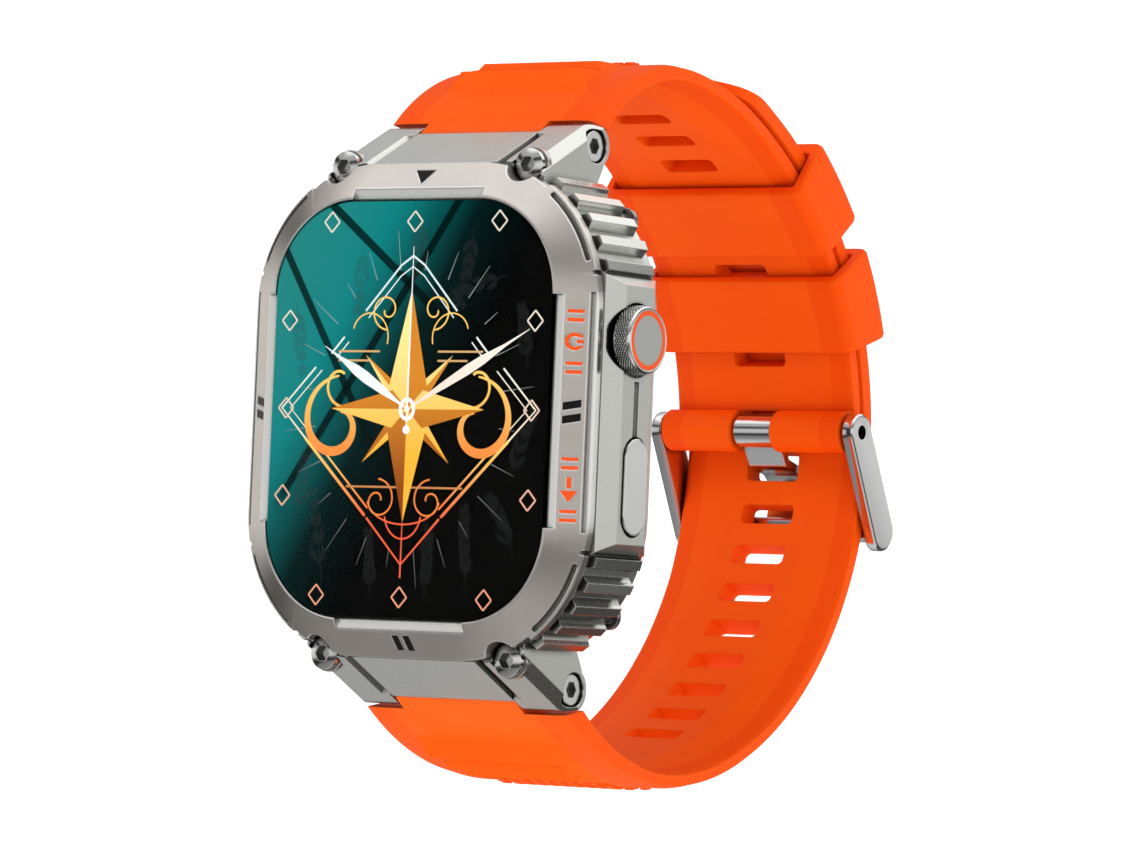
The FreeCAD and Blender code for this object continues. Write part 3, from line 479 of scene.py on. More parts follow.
# ---------------------------------------------------------------- band shape, in millimetres
LOOP = (17.4, 0.0)
THICK = 2.0
UPPER_R = 31.8
LOWER_R = 34.0
BLEND_R = 38.3
BLEND_FROM, BLEND_TO = 38.0, 84.0
BLEND = on_circle(LOOP, UPPER_R - BLEND_R, BLEND_FROM)
TAIL_R = BLEND_R + THICK + 0.2
TAIL_TIP = 74.0
LUG_INNER = (1.6, 28.4)
LUG_OUTER = (-2.5, 29.05)
BAR = (-2.3, 26.5)
PIN = on_circle(LOOP, 31.2, 2.75)
SLOT_STEP = 7.7
SLOT_HALF_X = 3.2
BARREL_HALF_X = 7.3


def run_on(centre, radius, degrees, target):
    """Centre, radius and last angle of the arc that carries on from a circle to a target point."""
    py, pz = on_circle(centre, radius, degrees)
    dy, dz = target[0] - py, target[1] - pz
    a = math.radians(degrees)
    r = -(dy * dy + dz * dz) / (2 * (dy * math.cos(a) + dz * math.sin(a)))
    c = on_circle(centre, radius - r, degrees)
    return c, r, math.degrees(math.atan2(target[1] - c[1], target[0] - c[0]))


def ring_stations(centre, r_in, r_out, start, end, count):
    turns = [start + (end - start) * i / count for i in range(count + 1)]
    return [(on_circle(centre, r_in, a), on_circle(centre, r_out, a)) for a in turns]


def front_stations(centre, r_in, degrees, inner, outer, count):
    """From the lug to where the round part of the strap starts."""
    faces = [run_on(centre, r, degrees, t) for r, t in ((r_in, inner), (r_in + THICK, outer))]
    rows = []
    for i in range(count):
        share = i / count
        rows.append(tuple(on_circle(c, r, last + (degrees - last) * share) for c, r, last in faces))
    return rows


def strap_width(y):
    return 12.0 - min(max((y - 10.0) / 22.0, 0.0), 1.0)


def strap_loop(inner, outer, width, crown, rim):
    """The strap's cross-section at one place: a raised middle, sloping borders and chamfered edges."""
    (iy, iz), (oy, oz) = inner, outer
    thick = math.hypot(oy - iy, oz - iz)
    ny, nz = (oy - iy) / thick, (oz - iz) / thick
    half = [(min(5.3, width * 0.5), -crown), (min(8.4, width * 0.75), crown * 0.2), (width - 0.45, rim),
            (width, rim + 0.2), (width, thick - 0.3), (width - 1.3, thick)]
    points = [(x, iy + ny * d, iz + nz * d) for x, d in half]
    return [mm(*p) for p in points] + [mm(-x, y, z) for x, y, z in reversed(points)]


def strap_body(name, stations, material, tip=False):
    bm = bmesh.new()
    loops = []
    total = len(stations)
    for i, (inner, outer, crown, rim) in enumerate(stations):
        width = strap_width((inner[0] + outer[0]) / 2)
        left = (total - 1 - i) * 0.7 if tip else 99
        if left < 6:
            share = left / 6
            width = 5.5 + (width - 5.5) * math.sqrt(share * (2 - share))
            inner_share = 1 - (1 - share) * 0.3
            outer = (inner[0] + (outer[0] - inner[0]) * inner_share,
                     inner[1] + (outer[1] - inner[1]) * inner_share)
        loops.append(strap_loop(inner, outer, width, crown, rim))
    skin(bm, loops)
    return mesh_object(name, bm, material, 3.0)


def slot_cutter(bm, centre, radius, degrees, long=2.1):
    """A tapered hole with round corners through one layer of the band."""
    loops = []
    for d, grow in ((-0.8, 0.12), (THICK + 0.8, -0.42)):
        hx, ht, corner = SLOT_HALF_X + grow, long / 2 + grow * 0.45, 0.55
        outline = []
        for cx, ct, first in ((1, 1, 0), (-1, 1, 90), (-1, -1, 180), (1, -1, 270)):
            for k in range(7):
                a = math.radians(first + 15 * k)
                outline.append((cx * (hx - corner) + corner * math.cos(a),
                                ct * (ht - corner) + corner * math.sin(a)))
        er = (math.cos(math.radians(degrees)), math.sin(math.radians(degrees)))
        base = on_circle(centre, radius + d, degrees)
        loops.append([mm(x, base[0] - er[1] * t, base[1] + er[0] * t) for x, t in outline])
    skin(bm, loops)


def sector(bm, centre, r0, r1, start, end, x0, x1, count=12):
    """A stretch of a ring about the loop centre as a closed mesh."""
    turns = [start + (end - start) * i / count for i in range(count + 1)]
    outline = [on_circle(centre, r1, a) for a in turns] + [on_circle(centre, r0, a) for a in reversed(turns)]
    prism(bm, outline, x0, x1)


def step_bar(bm, surface, foot, edge, back, side, half_x=7.4):
    """A raised bar: a riser at its front, a flat top that runs out into the strap, and sloping ends."""
    level = surface(back) + side * 0.22
    points = []
    for s in (-1, 1):
        points += [(s * (half_x + 1.1), foot, surface(foot)), (s * half_x, edge, level),
                   (s * half_x, back, level),
                   (s * (half_x + 1.1), back + 0.4, surface(back + 0.4) - side * 0.1),
                   (s * half_x, foot + 0.6, surface(foot) - side * 0.9),
                   (s * half_x, back, level - side * 1.3)]
    verts = [bm.verts.new(mm(*p)) for p in points]
    wrapped = bmesh.ops.convex_hull(bm, input=verts)
    bmesh.ops.delete(bm, geom=wrapped["geom_interior"], context="VERTS")


def outer_surface(centre, radius, degrees, target):
    """The height of the strap's outer face at a place along Y, on its front stretch."""
    c, r = run_on(centre, radius, degrees, target)[:2]
    sign = 1 if target[1] > 0 else -1
    return lambda y: c[1] + sign * math.sqrt(max(r * r - (y - c[0]) ** 2, 0.0))


def eye_parts(side):
    """Closed meshes to add to and cut from a strap's end: the barrel round its bar and the lug gaps."""
    bar = (BAR[0], side * BAR[1])
    add = bmesh.new()
    prism(add, disc(bar, 2.15), -BARREL_HALF_X, BARREL_HALF_X)
    cheek = bmesh.new()
    outline = [(-3.3, 28.4), (-2.5, 29.05), (0.5, 30.9), (1.6, 28.4), (-0.1, 26.4), BAR]
    prism(cheek, [(y, side * z) for y, z in outline], -BARREL_HALF_X, BARREL_HALF_X)
    gaps = bmesh.new()
    for s in (-1, 1):
        prism(gaps, disc(bar, 2.4), *sorted((s * 7.35, s * 14)))
    return [mesh_object(n, b, None) for n, b in (("barrel", add), ("cheek", cheek), ("gaps", gaps))]


def rib_panels(name, tree, stretches, finish, settings):
    """The fine ribs beyond the raised bars, one stretch for each arc of the strap."""
    made = []
    for k, (centre, radius, first, last) in enumerate(stretches):
        bm = bmesh.new()
        w, l, h = mm(settings.rib_pitch * 1000 * 0.36), mm(0.72), mm(0.34)
        low = [(-w, -0.0003, -l), (w, -0.0003, -l), (w, -0.0003, l), (-w, -0.0003, l)]
        top = [(-w * 0.5, h, -l * 0.62), (w * 0.5, h, -l * 0.62), (w * 0.5, h, l * 0.62),
               (-w * 0.5, h, l * 0.62)]
        skin(bm, [low, top])
        piece = mesh_object("rib", bm, None)
        pitch = 1.75 / radius
        rows = max(1, int(abs(math.radians(last - first)) / pitch))
        columns = 10
        made.append(repeat(name + "_" + str(k), tree, piece, {
            "Along": columns, "Around": rows, "Radius": mm(radius), "Centre Y": mm(centre[0]),
            "Centre Z": mm(centre[1]),
            "First X": -settings.rib_pitch * (columns - 1) / 2 - settings.rib_pitch / 4,
            "Pitch X": settings.rib_pitch, "First Angle": math.radians(first),
            "Pitch Angle": math.copysign(pitch, last - first), "Stagger": settings.rib_pitch / 2,
            "Finish": finish}))
    return made


# ---------------------------------------------------------------- settings
class BandSettings(bpy.types.PropertyGroup):
    colour: FloatVectorProperty(name="Silicone", description="Colour of the band and its keepers",
                                subtype="COLOR", size=3, min=0, max=1, default=(1.0, 0.104, 0.0015))
    rib_pitch: FloatProperty(name="Rib pitch", description="Spacing of the fine ribs across the strap",
                             default=0.00145, min=0.0008, max=0.003, unit="LENGTH")
    crown: FloatProperty(name="Middle rise",
                         description="How far the middle of the strap stands towards the wrist",
                         default=0.00042, min=0, max=0.0006, unit="LENGTH")
    wall: FloatProperty(name="Keeper corner", description="Radius of the keepers' long corners",
                        default=0.0014, min=0.0003, max=0.002, unit="LENGTH")


class CaseSettings(bpy.types.PropertyGroup):
    bezel: FloatVectorProperty(name="Bezel steel", description="Colour of the blasted bezel", subtype="COLOR",
                               size=3, min=0, max=1, default=(0.66, 0.61, 0.57))
    lugs: FloatVectorProperty(name="Case steel", description="Colour of the satin case and lugs",
                              subtype="COLOR", size=3, min=0, max=1, default=(0.70, 0.705, 0.67))
    edge: FloatProperty(name="Edge", description="Width of the softened edges", default=0.00016, min=0,
                        max=0.0005, unit="LENGTH")


class CrownSettings(bpy.types.PropertyGroup):
    around: IntProperty(name="Knurls", description="Knurl points in one row round the crown", default=40,
                        min=12, max=80)
    rows: IntProperty(name="Rows", description="Rows of knurl points", default=5, min=2, max=9)
    height: FloatProperty(name="Knurl height", description="How far a knurl point stands out",
                          default=0.00026, min=0.0001, max=0.0004, unit="LENGTH")


class DialSettings(bpy.types.PropertyGroup):
    teal: FloatVectorProperty(name="Teal", description="Colour of the lit corner of the display",
                              subtype="COLOR", size=3, min=0, max=1, default=(0.004, 0.235, 0.235))
    gold: FloatVectorProperty(name="Gold", description="Main colour of the centre ornament", subtype="COLOR",
                              size=3, min=0, max=1, default=(1.0, 0.47, 0.04))
    hour_hand: FloatProperty(name="Hour hand", description="Length of the hour hand", default=0.0119,
                             unit="LENGTH")
    minute_hand: FloatProperty(name="Minute hand", description="Length of the minute hand", default=0.0163,
                               unit="LENGTH")


class StageSettings(bpy.types.PropertyGroup):
    distance: FloatProperty(name="Distance", description="From the camera to the middle of the watch",
                            default=0.60877, unit="LENGTH")
    lens: FloatProperty(name="Lens", description="Focal length in millimetres", default=189.27)
    floor: FloatProperty(name="Floor", description="Height of the floor", default=-0.13, unit="LENGTH")


# ---------------------------------------------------------------- case
class WATCH_OT_case(bpy.types.Operator):
    """Bezel, case, lugs and their screws"""
    bl_idname = "watch.case"
    bl_label = "Case"

    def execute(self, context):
        s = context.scene.watch_case

        def strips(x, y, z):
            """The polished ledges beside the glass and the polished grooves along the sides, which get a
            smoother finish and a painted highlight.
            """
            level = (y + 0.0136).rise(-0.00006, 0.0)
            ends = ((1.0 - abs(x).rise(0.0077, 0.00775)) * abs(z).rise(0.0200, 0.0202)
                    * (1.0 - abs(z).rise(0.0216, 0.0217)))
            sides = ((1.0 - abs(z).rise(0.0112, 0.01125)) * abs(x).rise(0.0163, 0.0165)
                     * (1.0 - abs(x).rise(0.0178, 0.0179)))
            edge = abs(x).rise(0.01985, 0.0199) * (1.0 - abs(z).rise(0.0115, 0.01155))
            return (ends.most(sides) * level).most(edge)

        bezel = steel("bezel_steel", (*s.bezel, 1), 0.32, edge=0.0003, polish=0.14, grain=0.00018,
                      relief=0.00001, spread=0.16, crevice=0.0009, polished_highlight_zones=strips)
        body = steel("case_steel", (*s.lugs, 1), 0.27, edge=s.edge, polish=0.12, grain=0.0001,
                     relief=0.000003, spread=0.06)
        bright = steel("screw_steel", (0.80, 0.80, 0.79, 1), 0.12, edge=0.00012, polish=0.06, grain=0.0003,
                       relief=0.000001, spread=0.04)
        dress(bezel, "bezel")
        dress(body, "mid_case", "lug_upper_right", "lug_upper_left", "lug_lower_right", "lug_lower_left",
              "end_plate_upper", "end_plate_lower")
        dress(bright, "bezel_screws", "strap_bar_screws", "strap_bar_upper", "strap_bar_lower")
        dress(steel("tube_steel", (0.6, 0.6, 0.6, 1), 0.25), "crown_tube", "crown_stem", "crown_plunger")
        dress(moulded("index_black", (0.006, 0.006, 0.006, 1), 0.3, relief=0.000002, gloss=0.12),
              "index_inlays")
        dress(moulded("label_orange", (0.84, 0.085, 0.008, 1), 0.4, relief=0.000003, gloss=0.12),
              "label_inlays", "crown_ring")
        dress(steel("button_steel", (0.86, 0.86, 0.84, 1), 0.22, edge=0.0003, polish=0.08, grain=0.0001),
              "side_button")
        dress(moulded("seal_rubber", (0.02, 0.02, 0.02, 1), 0.6), "glass_gasket", "case_gasket", "crown_seal",
              "button_seals")
        return {"FINISHED"}


class WATCH_OT_back(bpy.types.Operator):
    """Back cover, sensor window and charging contacts"""
    bl_idname = "watch.back"
    bl_label = "Case back"

    def execute(self, context):
        dress(moulded("back_plastic", (0.025, 0.026, 0.028, 1), 0.5, texture=0.00012), "back_cover")
        dress(steel("back_screw_steel", (0.32, 0.32, 0.33, 1), 0.3), "back_screws")
        dress(steel("contact_gold", (0.93, 0.66, 0.27, 1), 0.2, polish=0.12), "charging_contacts")
        f = Finish("sensor_glass", Coat_Weight=1.0, Coat_Roughness=0.03)
        x, _, z = f.axes()
        reach = f.maths("SQRT", x * x + z * z)
        wide_ring = 1.0 - abs(reach - 0.0062).rise(0.00012, 0.0002)
        ring = wide_ring.most(1.0 - abs(reach - 0.0026).rise(0.0001, 0.00016))
        eye = 1.0 - reach.rise(0.0013, 0.0015)
        ax, az = abs(x) - 0.00325, abs(z) - 0.00325
        spots = 1.0 - f.maths("SQRT", ax * ax + az * az).rise(0.0009, 0.00105)
        dark = f.mix(f.noise(0.0008) * 0.5, (0.006, 0.007, 0.009, 1), (0.014, 0.016, 0.02, 1))
        tone = f.mix(spots * 0.85, dark, (0.02, 0.10, 0.035, 1))
        tone = f.mix(eye * 0.85, tone, (0.10, 0.015, 0.015, 1))
        tone = f.mix(ring * 0.6, tone, (0.07, 0.075, 0.08, 1))
        f.set(Base_Color=tone, Roughness=0.08 + f.noise(0.002) * 0.06)
        dress(f.material, "sensor_window")
        return {"FINISHED"}


class WATCH_OT_inside(bpy.types.Operator):
    """Battery, boards, speaker and vibration motor inside the case"""
    bl_idname = "watch.inside"
    bl_label = "Inside"

    def execute(self, context):
        dress(moulded("inner_plastic", (0.05, 0.05, 0.052, 1), 0.55), "inner_frame", "crown_switch",
              "button_switch", "speaker")
        dress(moulded("battery_pouch", (0.50, 0.51, 0.53, 1), 0.35, texture=0.0008, relief=0.00004,
                      metallic=0.6), "battery")
        dress(steel("can_steel", (0.7, 0.7, 0.69, 1), 0.25), "board_shield", "motor_can", "motor_rotor")
        f = Finish("board_green")
        x, _, z = f.axes()
        upright = abs((x * 900.0) % 1.0 - 0.5).rise(0.36, 0.42)
        tracks = upright.most(abs((z * 700.0) % 1.0 - 0.5).rise(0.38, 0.44))
        tone = f.mix(tracks * f.noise(0.003).rise(0.4, 0.6), (0.008, 0.07, 0.03, 1), (0.02, 0.16, 0.07, 1))
        f.set(Base_Color=tone, Roughness=0.3 + f.noise(0.0005) * 0.1)
        dress(f.material, "main_board", "sensor_module")
        return {"FINISHED"}


# ---------------------------------------------------------------- dial
FACE_Y = -13.9
FACE_BACK_Y = -13.0
ART_Y = -13.912
FACE_HALF_X, FACE_HALF_Z, FACE_CORNER = 16.55, 20.25, 9.2
MARK_X, MARK_Z = 14.8, 18.26


def ribbon(bm, points, widths, level=0.0, deep=0.008):
    """A flat line of the XZ plane through the points, closed on all sides."""
    count = len(points)
    loops = []
    for i, (x, z) in enumerate(points):
        ax, az = points[max(i - 1, 0)]
        bx, bz = points[min(i + 1, count - 1)]
        long = math.hypot(bx - ax, bz - az) or 1.0
        nx, nz = -(bz - az) / long, (bx - ax) / long
        w = max(widths[i] if isinstance(widths, (list, tuple)) else widths, 0.02) / 2
        top = ART_Y - level
        loops.append([mm(x + nx * w, top, z + nz * w), mm(x - nx * w, top, z - nz * w),
                      mm(x - nx * w, top + deep, z - nz * w), mm(x + nx * w, top + deep, z + nz * w)])
    skin(bm, loops)


def plate(bm, outline, level=0.0, deep=0.008):
    top = ART_Y - level
    skin(bm, [[mm(x, top, z) for x, z in outline], [mm(x, top + deep, z) for x, z in outline]])


def spiral(cx, cz, start, turns, r0, r1, hand):
    points = []
    steps = 40
    for i in range(steps + 1):
        t = i / steps
        a = math.radians(start) + hand * turns * 2 * math.pi * t
        r = r0 + (r1 - r0) * t
        points.append((cx + r * math.cos(a), cz + r * math.sin(a)))
    return points


def display_glass_plate(half_x, half_z, radius, y):
    outline = []
    for cx, cz, first in ((1, 1, 0), (-1, 1, 90), (-1, -1, 180), (1, -1, 270)):
        for k in range(17):
            a = math.radians(first + 90 * k / 16)
            outline.append((cx * (half_x - radius) + radius * math.cos(a),
                            cz * (half_z - radius) + radius * math.sin(a)))
    return [mm(x, y, z) for x, z in outline]


class WATCH_OT_dial(bpy.types.Operator):
    """The lit display: background, marks, ornament and hands"""
    bl_idname = "watch.dial"
    bl_label = "Dial"

    def background(self, name, teal, share=1.0, grey=0.0):
        f = Finish(name, Emission_Strength=1.0, Roughness=0.3, Specular_IOR_Level=0.0)
        x, _, z = f.axes()
        u, v = x / 0.01675, z / 0.0205
        fall = v * 0.62 - u * 0.86 + f.noise(0.02, 1.0) * 0.12 - 0.06
        tone = f.ramp(fall.rise(-0.25, 1.25), [
            (0.0, (0.0, 0.0, 0.0)), (0.22, tuple(c * 0.05 for c in teal)),
            (0.45, tuple(c * 0.42 for c in teal)),
            (0.7, teal), (1.0, (teal[0] + 0.012, teal[1] * 1.05, teal[2]))])
        # dark slanting bars across the lit corner
        for (ax, az), (bx, bz), wide in (((-10.2, 20.0), (4.6, 8.3), 0.36),
                                         ((5.0, 20.0), (-16.2, -10.6), 0.36),
                                         ((-15.8, 15.8), (-2.9, -5.6), 0.34)):
            long = math.hypot(bx - ax, bz - az)
            ux, uz = (bx - ax) / long, (bz - az) / long
            across = abs((x - mm(ax)) * -uz + (z - mm(az)) * ux)
            run = (x - mm(ax)) * ux + (z - mm(az)) * uz
            inside = ((1.0 - across.rise(mm(wide), mm(wide + 0.12)))
                      * (1.0 - run.rise(mm(long * 0.9), mm(long))))
            tone = f.mix(inside * 0.9, tone, (0.0, 0.004, 0.004, 1))
        tone = f.mix(share, (grey, grey * 1.1, grey * 1.1, 1), tone)
        f.set(Base_Color=(0.001, 0.001, 0.001, 1), Emission_Color=tone)
        return f.material

    def foliage(self, bm, rng):
        """Faint leaf sprigs in the dark parts of the picture."""
        sprigs = [(11.5, 13.0, 200, 7.5), (7.2, 17.5, 260, 7.0), (14.2, 4.0, 100, 5.5), (12.5, -7.0, 70, 7.0),
                  (8.0, -17.5, 95, 7.5), (3.0, -18.5, 88, 6.5), (-3.5, -18.5, 95, 6.0),
                  (-9.5, -17.0, 100, 8.5), (-13.0, -11.0, 80, 7.0), (-6.0, 16.0, 265, 6.0),
                  (0.6, 18.8, 268, 5.5), (13.5, -14.0, 120, 6.0), (-14.2, 10.5, 280, 6.5)]
        for cx, cz, heading, long in sprigs:
            a = math.radians(heading)
            stem = [(cx + math.cos(a) * long * t, cz + math.sin(a) * long * t + math.sin(t * 3) * 0.4)
                    for t in (0, 0.2, 0.4, 0.6, 0.8, 1.0)]
            stem = [p for p in stem if abs(p[0]) < 15.4 and abs(p[1]) < 19.2]
            if len(stem) < 3:
                continue
            ribbon(bm, stem, 0.16)
            for k, (px, pz) in enumerate(stem[1:]):
                for hand in (-1, 1):
                    b = a + hand * math.radians(48 + rng.uniform(-8, 8))
                    size = (1.9 - k * 0.22) * rng.uniform(0.85, 1.15)
                    leaf, wide = [], []
                    for i in range(7):
                        t = i / 6
                        leaf.append((px + math.cos(b + hand * -0.5 * t) * size * t,
                                     pz + math.sin(b + hand * -0.5 * t) * size * t))
                        wide.append(0.62 * math.sin(math.pi * min(max(t, 0.04), 0.98)) ** 0.8)
                    if all(abs(p[0]) < 15.6 and abs(p[1]) < 19.3 and abs(p[0]) + abs(p[1]) < 31 for p in leaf):
                        ribbon(bm, leaf, wide, level=0.001)

    def execute(self, context):
        s = context.scene.watch_dial
        teal, gold = tuple(s.teal), tuple(s.gold)
        rng = random.Random(7)
        pieces = []
        bm = bmesh.new()
        skin(bm, [display_glass_plate(FACE_HALF_X, FACE_HALF_Z, FACE_CORNER, y)
                  for y in (FACE_Y, FACE_BACK_Y)])
        face = mesh_object("display_face", bm, self.background("display_face", teal))
        stands_for(face, "case", "display", "display_panel")

        bm = bmesh.new()
        self.foliage(bm, rng)
        pieces.append(mesh_object("dial_foliage", bm, self.background("foliage_grey", teal, 0.72, 0.03)))

        # small diamond markers
        bm = bmesh.new()
        spots = [(0, MARK_Z), (0, -MARK_Z), (MARK_X, 0), (-MARK_X, 0)]
        spots += [(sx * 10.1, sz * MARK_Z) for sx in (-1, 1) for sz in (-1, 1)]
        spots += [(sx * MARK_X, sz * 8.6) for sx in (-1, 1) for sz in (-1, 1)]
        for cx, cz in spots:
            ring = [(cx, cz + 1.0), (cx + 0.92, cz), (cx, cz - 1.0), (cx - 0.92, cz)]
            for a, b in zip(ring, ring[1:] + ring[:1]):
                ribbon(bm, [a, b], 0.17, level=0.006)
        pieces.append(mesh_object("dial_markers", bm, glow("marker_pale", (0.95, 0.88, 0.72, 1), 0.9,
                                                            (1.0, 0.42, 0.25, 1), (-0.02, 0.012))))

        # the big frame: white above, gold and red below
        bm = bmesh.new()
        for grow, wide in ((0.0, 0.2), (-1.05, 0.13)):
            top, side = 14.9 + grow, 15.3 + grow
            for sx in (-1, 1):
                ribbon(bm, [(0, top), (sx * 1.4, top - 0.9), (sx * side * 0.36, top * 0.64)], wide, 0.004)
                ribbon(bm, [(sx * side * 0.52, top * 0.47), (sx * side * 0.62, top * 0.36)], wide, 0.004)
                ribbon(bm, [(sx * side * 0.74, top * 0.27), (sx * side, 0.0), (sx * side * 0.8, -top * 0.2)],
                       wide, 0.004)
        pieces.append(mesh_object("dial_frame_upper", bm, glow("line_white", (0.78, 0.95, 0.95, 1), 1.0,
                                                                (1.0, 0.86, 0.6, 1), (-0.004, 0.01))))
        bm = bmesh.new()
        for grow, wide in ((0.0, 0.3), (-1.05, 0.2)):
            top, side = 14.9 + grow, 15.3 + grow
            for sx in (-1, 1):
                ribbon(bm, [(sx * side * 0.8, -top * 0.2), (sx * side * 0.3, -top * 0.7)], wide, 0.004)
        for half, depth in ((4.4, 10.6), (2.2, 12.0)):
            arc = [(half * math.sin(t * 0.2), -depth - 2.6 * math.cos(t * 0.2) + 2.0) for t in range(-7, 8)]
            ribbon(bm, arc, 0.16, 0.004)
        ribbon(bm, [(0, -11.0), (0, -16.4)], [0.1, 0.2], 0.004)
        ribbon(bm, [(-4.4, -10.6), (0, -15.1), (4.4, -10.6)], 0.22, 0.004)
        pieces.append(mesh_object("dial_frame_lower", bm, glow("line_gold", (1.0, 0.66, 0.16, 1), 1.1,
                                                                (0.9, 0.12, 0.05, 1), (-0.012, -0.002))))

        # fine rays round the frame
        bm = bmesh.new()
        ribbon(bm, [(0, 0), (0, 3.4)], [0.09, 0.03], 0.003)
        ray = mesh_object("ray", bm, None)
        rays = repeat("dial_rays", fan_round_y(), ray, {
            "Count": 24, "Radius": mm(13.6), "Height": 0.0, "First Angle": math.radians(7.5),
            "Pitch Angle": math.radians(15), "Flatten": 0.82,
            "Finish": glow("ray_white", (0.4, 0.5, 0.5, 1), 0.8, (0.2, 0.2, 0.2, 1), (-0.016, 0.016))})
        pieces.append(rays)

        # a compass star in place of any lettering, each point split into a light and a deep half
        light, deep_half = bmesh.new(), bmesh.new()
        for heading, long, wide in ((0, 11.6, 3.2), (180, 11.0, 3.2), (90, 9.2, 2.6), (270, 9.2, 2.6),
                                    (45, 7.4, 2.2), (135, 7.4, 2.2), (225, 7.4, 2.2), (315, 7.4, 2.2)):
            a = math.radians(heading)
            tip = (math.sin(a) * long, math.cos(a) * long)
            for hand, target in ((-1, light), (1, deep_half)):
                b = a + hand * math.radians(45 if heading % 90 == 0 else 22.5)
                root = (math.sin(b) * wide, math.cos(b) * wide)
                plate(target, [(0, 0), root, tip] if hand > 0 else [(0, 0), tip, root],
                      0.008 if heading % 90 == 0 else 0.002)
        pieces.append(mesh_object("dial_star_light", light, glow("gold_light", (1.0, 0.80, 0.30, 1), 1.15,
                                                                  (*gold, 1), (-0.006, 0.009))))
        pieces.append(mesh_object("dial_star_deep", deep_half, glow("gold_deep", (0.85, 0.30, 0.03, 1), 0.9,
                                                                     (0.30, 0.055, 0.01, 1),
                                                                     (-0.011, 0.004))))

        # scrolls beside and around the star
        bm = bmesh.new()
        for sx in (-1, 1):
            big = spiral(sx * 8.4, -1.4, 90, 0.95, 4.6, 1.1, -sx)
            taper = [0.18 + 0.75 * math.sin(math.pi * i / (len(big) - 1)) for i in range(len(big))]
            ribbon(bm, big, taper, 0.005)
            ribbon(bm, spiral(sx * 8.0, 2.6, 250 if sx > 0 else 290, 0.6, 2.6, 0.8, sx), 0.28, 0.005)
            ribbon(bm, spiral(sx * 3.1, -8.9, 90, 1.25, 2.1, 0.35, sx), 0.17, 0.005)
            ribbon(bm, spiral(sx * 2.9, 9.6, 270, 1.25, 1.9, 0.3, sx), 0.17, 0.005)
            ribbon(bm, spiral(sx * 5.2, 7.2, 200 if sx > 0 else 340, 0.5, 2.6, 1.8, -sx), 0.14, 0.005)
        pieces.append(mesh_object("dial_scrolls", bm, glow("scroll_gold", (1.0, 0.62, 0.14, 1), 1.1,
                                                            (0.95, 0.25, 0.05, 1), (-0.006, 0.004))))

        # plain bars where day, date and half-day signs would be
        bm = bmesh.new()
        for x0, x1, z in ((-8.6, -3.6, 5.6), (3.4, 8.8, 5.6), (-8.6, -4.6, 4.7), (3.4, 7.0, 4.7),
                          (-1.5, 1.5, -4.3), (-7.0, 7.0, -7.6)):
            ribbon(bm, [(x0, z), (x1, z)], 0.2, 0.006)
        pieces.append(mesh_object("dial_bars", bm, glow("bar_gold", (0.95, 0.62, 0.25, 1), 0.8,
                                                         (0.8, 0.3, 0.1, 1))))

        # hands
        for name, tip, wide, colour, second in (
                ("hour_hand", (-10.3, 6.1), 1.15, (0.80, 0.97, 0.95, 1), (1.0, 1.0, 1.0, 1)),
                ("minute_hand", (14.2, 7.8), 1.0, (1.0, 0.93, 0.82, 1), (1.0, 0.80, 0.66, 1))):
            bm = bmesh.new()
            share = [0.03, 0.12, 0.3, 0.5, 0.62, 0.8, 1.0]
            widths = [0.18, 0.3, 0.72 * wide, wide, 0.9 * wide, 0.3 * wide, 0.05]
            ribbon(bm, [(tip[0] * t, tip[1] * t) for t in share], widths, 0.016, 0.006)
            pieces.append(mesh_object(name, bm, glow(name + "_white", colour, 1.05, second, (0.0, 0.008))))
        bm = bmesh.new()
        ribbon(bm, [(0, -1.7), (0, 0), (0, 15.8)], [0.12, 0.22, 0.07], 0.024, 0.005)
        plate(bm, [(math.cos(t * math.pi / 12) * 0.42, -2.0 + math.sin(t * math.pi / 12) * 0.42)
                   for t in range(24)], 0.024, 0.005)
        ring = [(math.cos(t * math.pi / 16) * 0.8, math.sin(t * math.pi / 16) * 0.95) for t in range(33)]
        ribbon(bm, ring, 0.38, 0.03, 0.004)
        plate(bm, [(math.cos(t * math.pi / 12) * 0.3, math.sin(t * math.pi / 12) * 0.3)
                   for t in range(24)], 0.03)
        pieces.append(mesh_object("second_hand", bm, glow("second_white", (1.0, 1.0, 1.0, 1), 1.1)))
        for piece in pieces:
            stands_for(piece, "case", "display")
        return {"FINISHED"}


class WATCH_OT_glass(bpy.types.Operator):
    """The cover glass with its polished edge"""
    bl_idname = "watch.glass"
    bl_label = "Glass"

    def execute(self, context):
        f = Finish("cover_glass", Transmission_Weight=1.0, IOR=1.14)
        smear = f.noise(0.004, 3.0)
        f.set(Base_Color=f.mix(smear, (0.985, 0.99, 0.99, 1), (1.0, 1.0, 1.0, 1)),
              Roughness=(smear - 0.5).most(0.0) * 0.02)
        bm = bmesh.new()
        skin(bm, [display_glass_plate(16.55 + edge, 20.3 + edge, 9.3 + edge, y)
                  for y, edge in ((-14.0, 0.0), (-13.96, 0.15), (-13.945, 0.15), (-13.94, 0.0))])
        made = mesh_object("watch_glass", bm, f.material, 20)
        stands_for(made, "case", "screen_glass", "cover_glass")
        return {"FINISHED"}


# ---------------------------------------------------------------- crown
CROWN_CENTRE = (-7.2, 7.2)
GRIP_R = 3.12


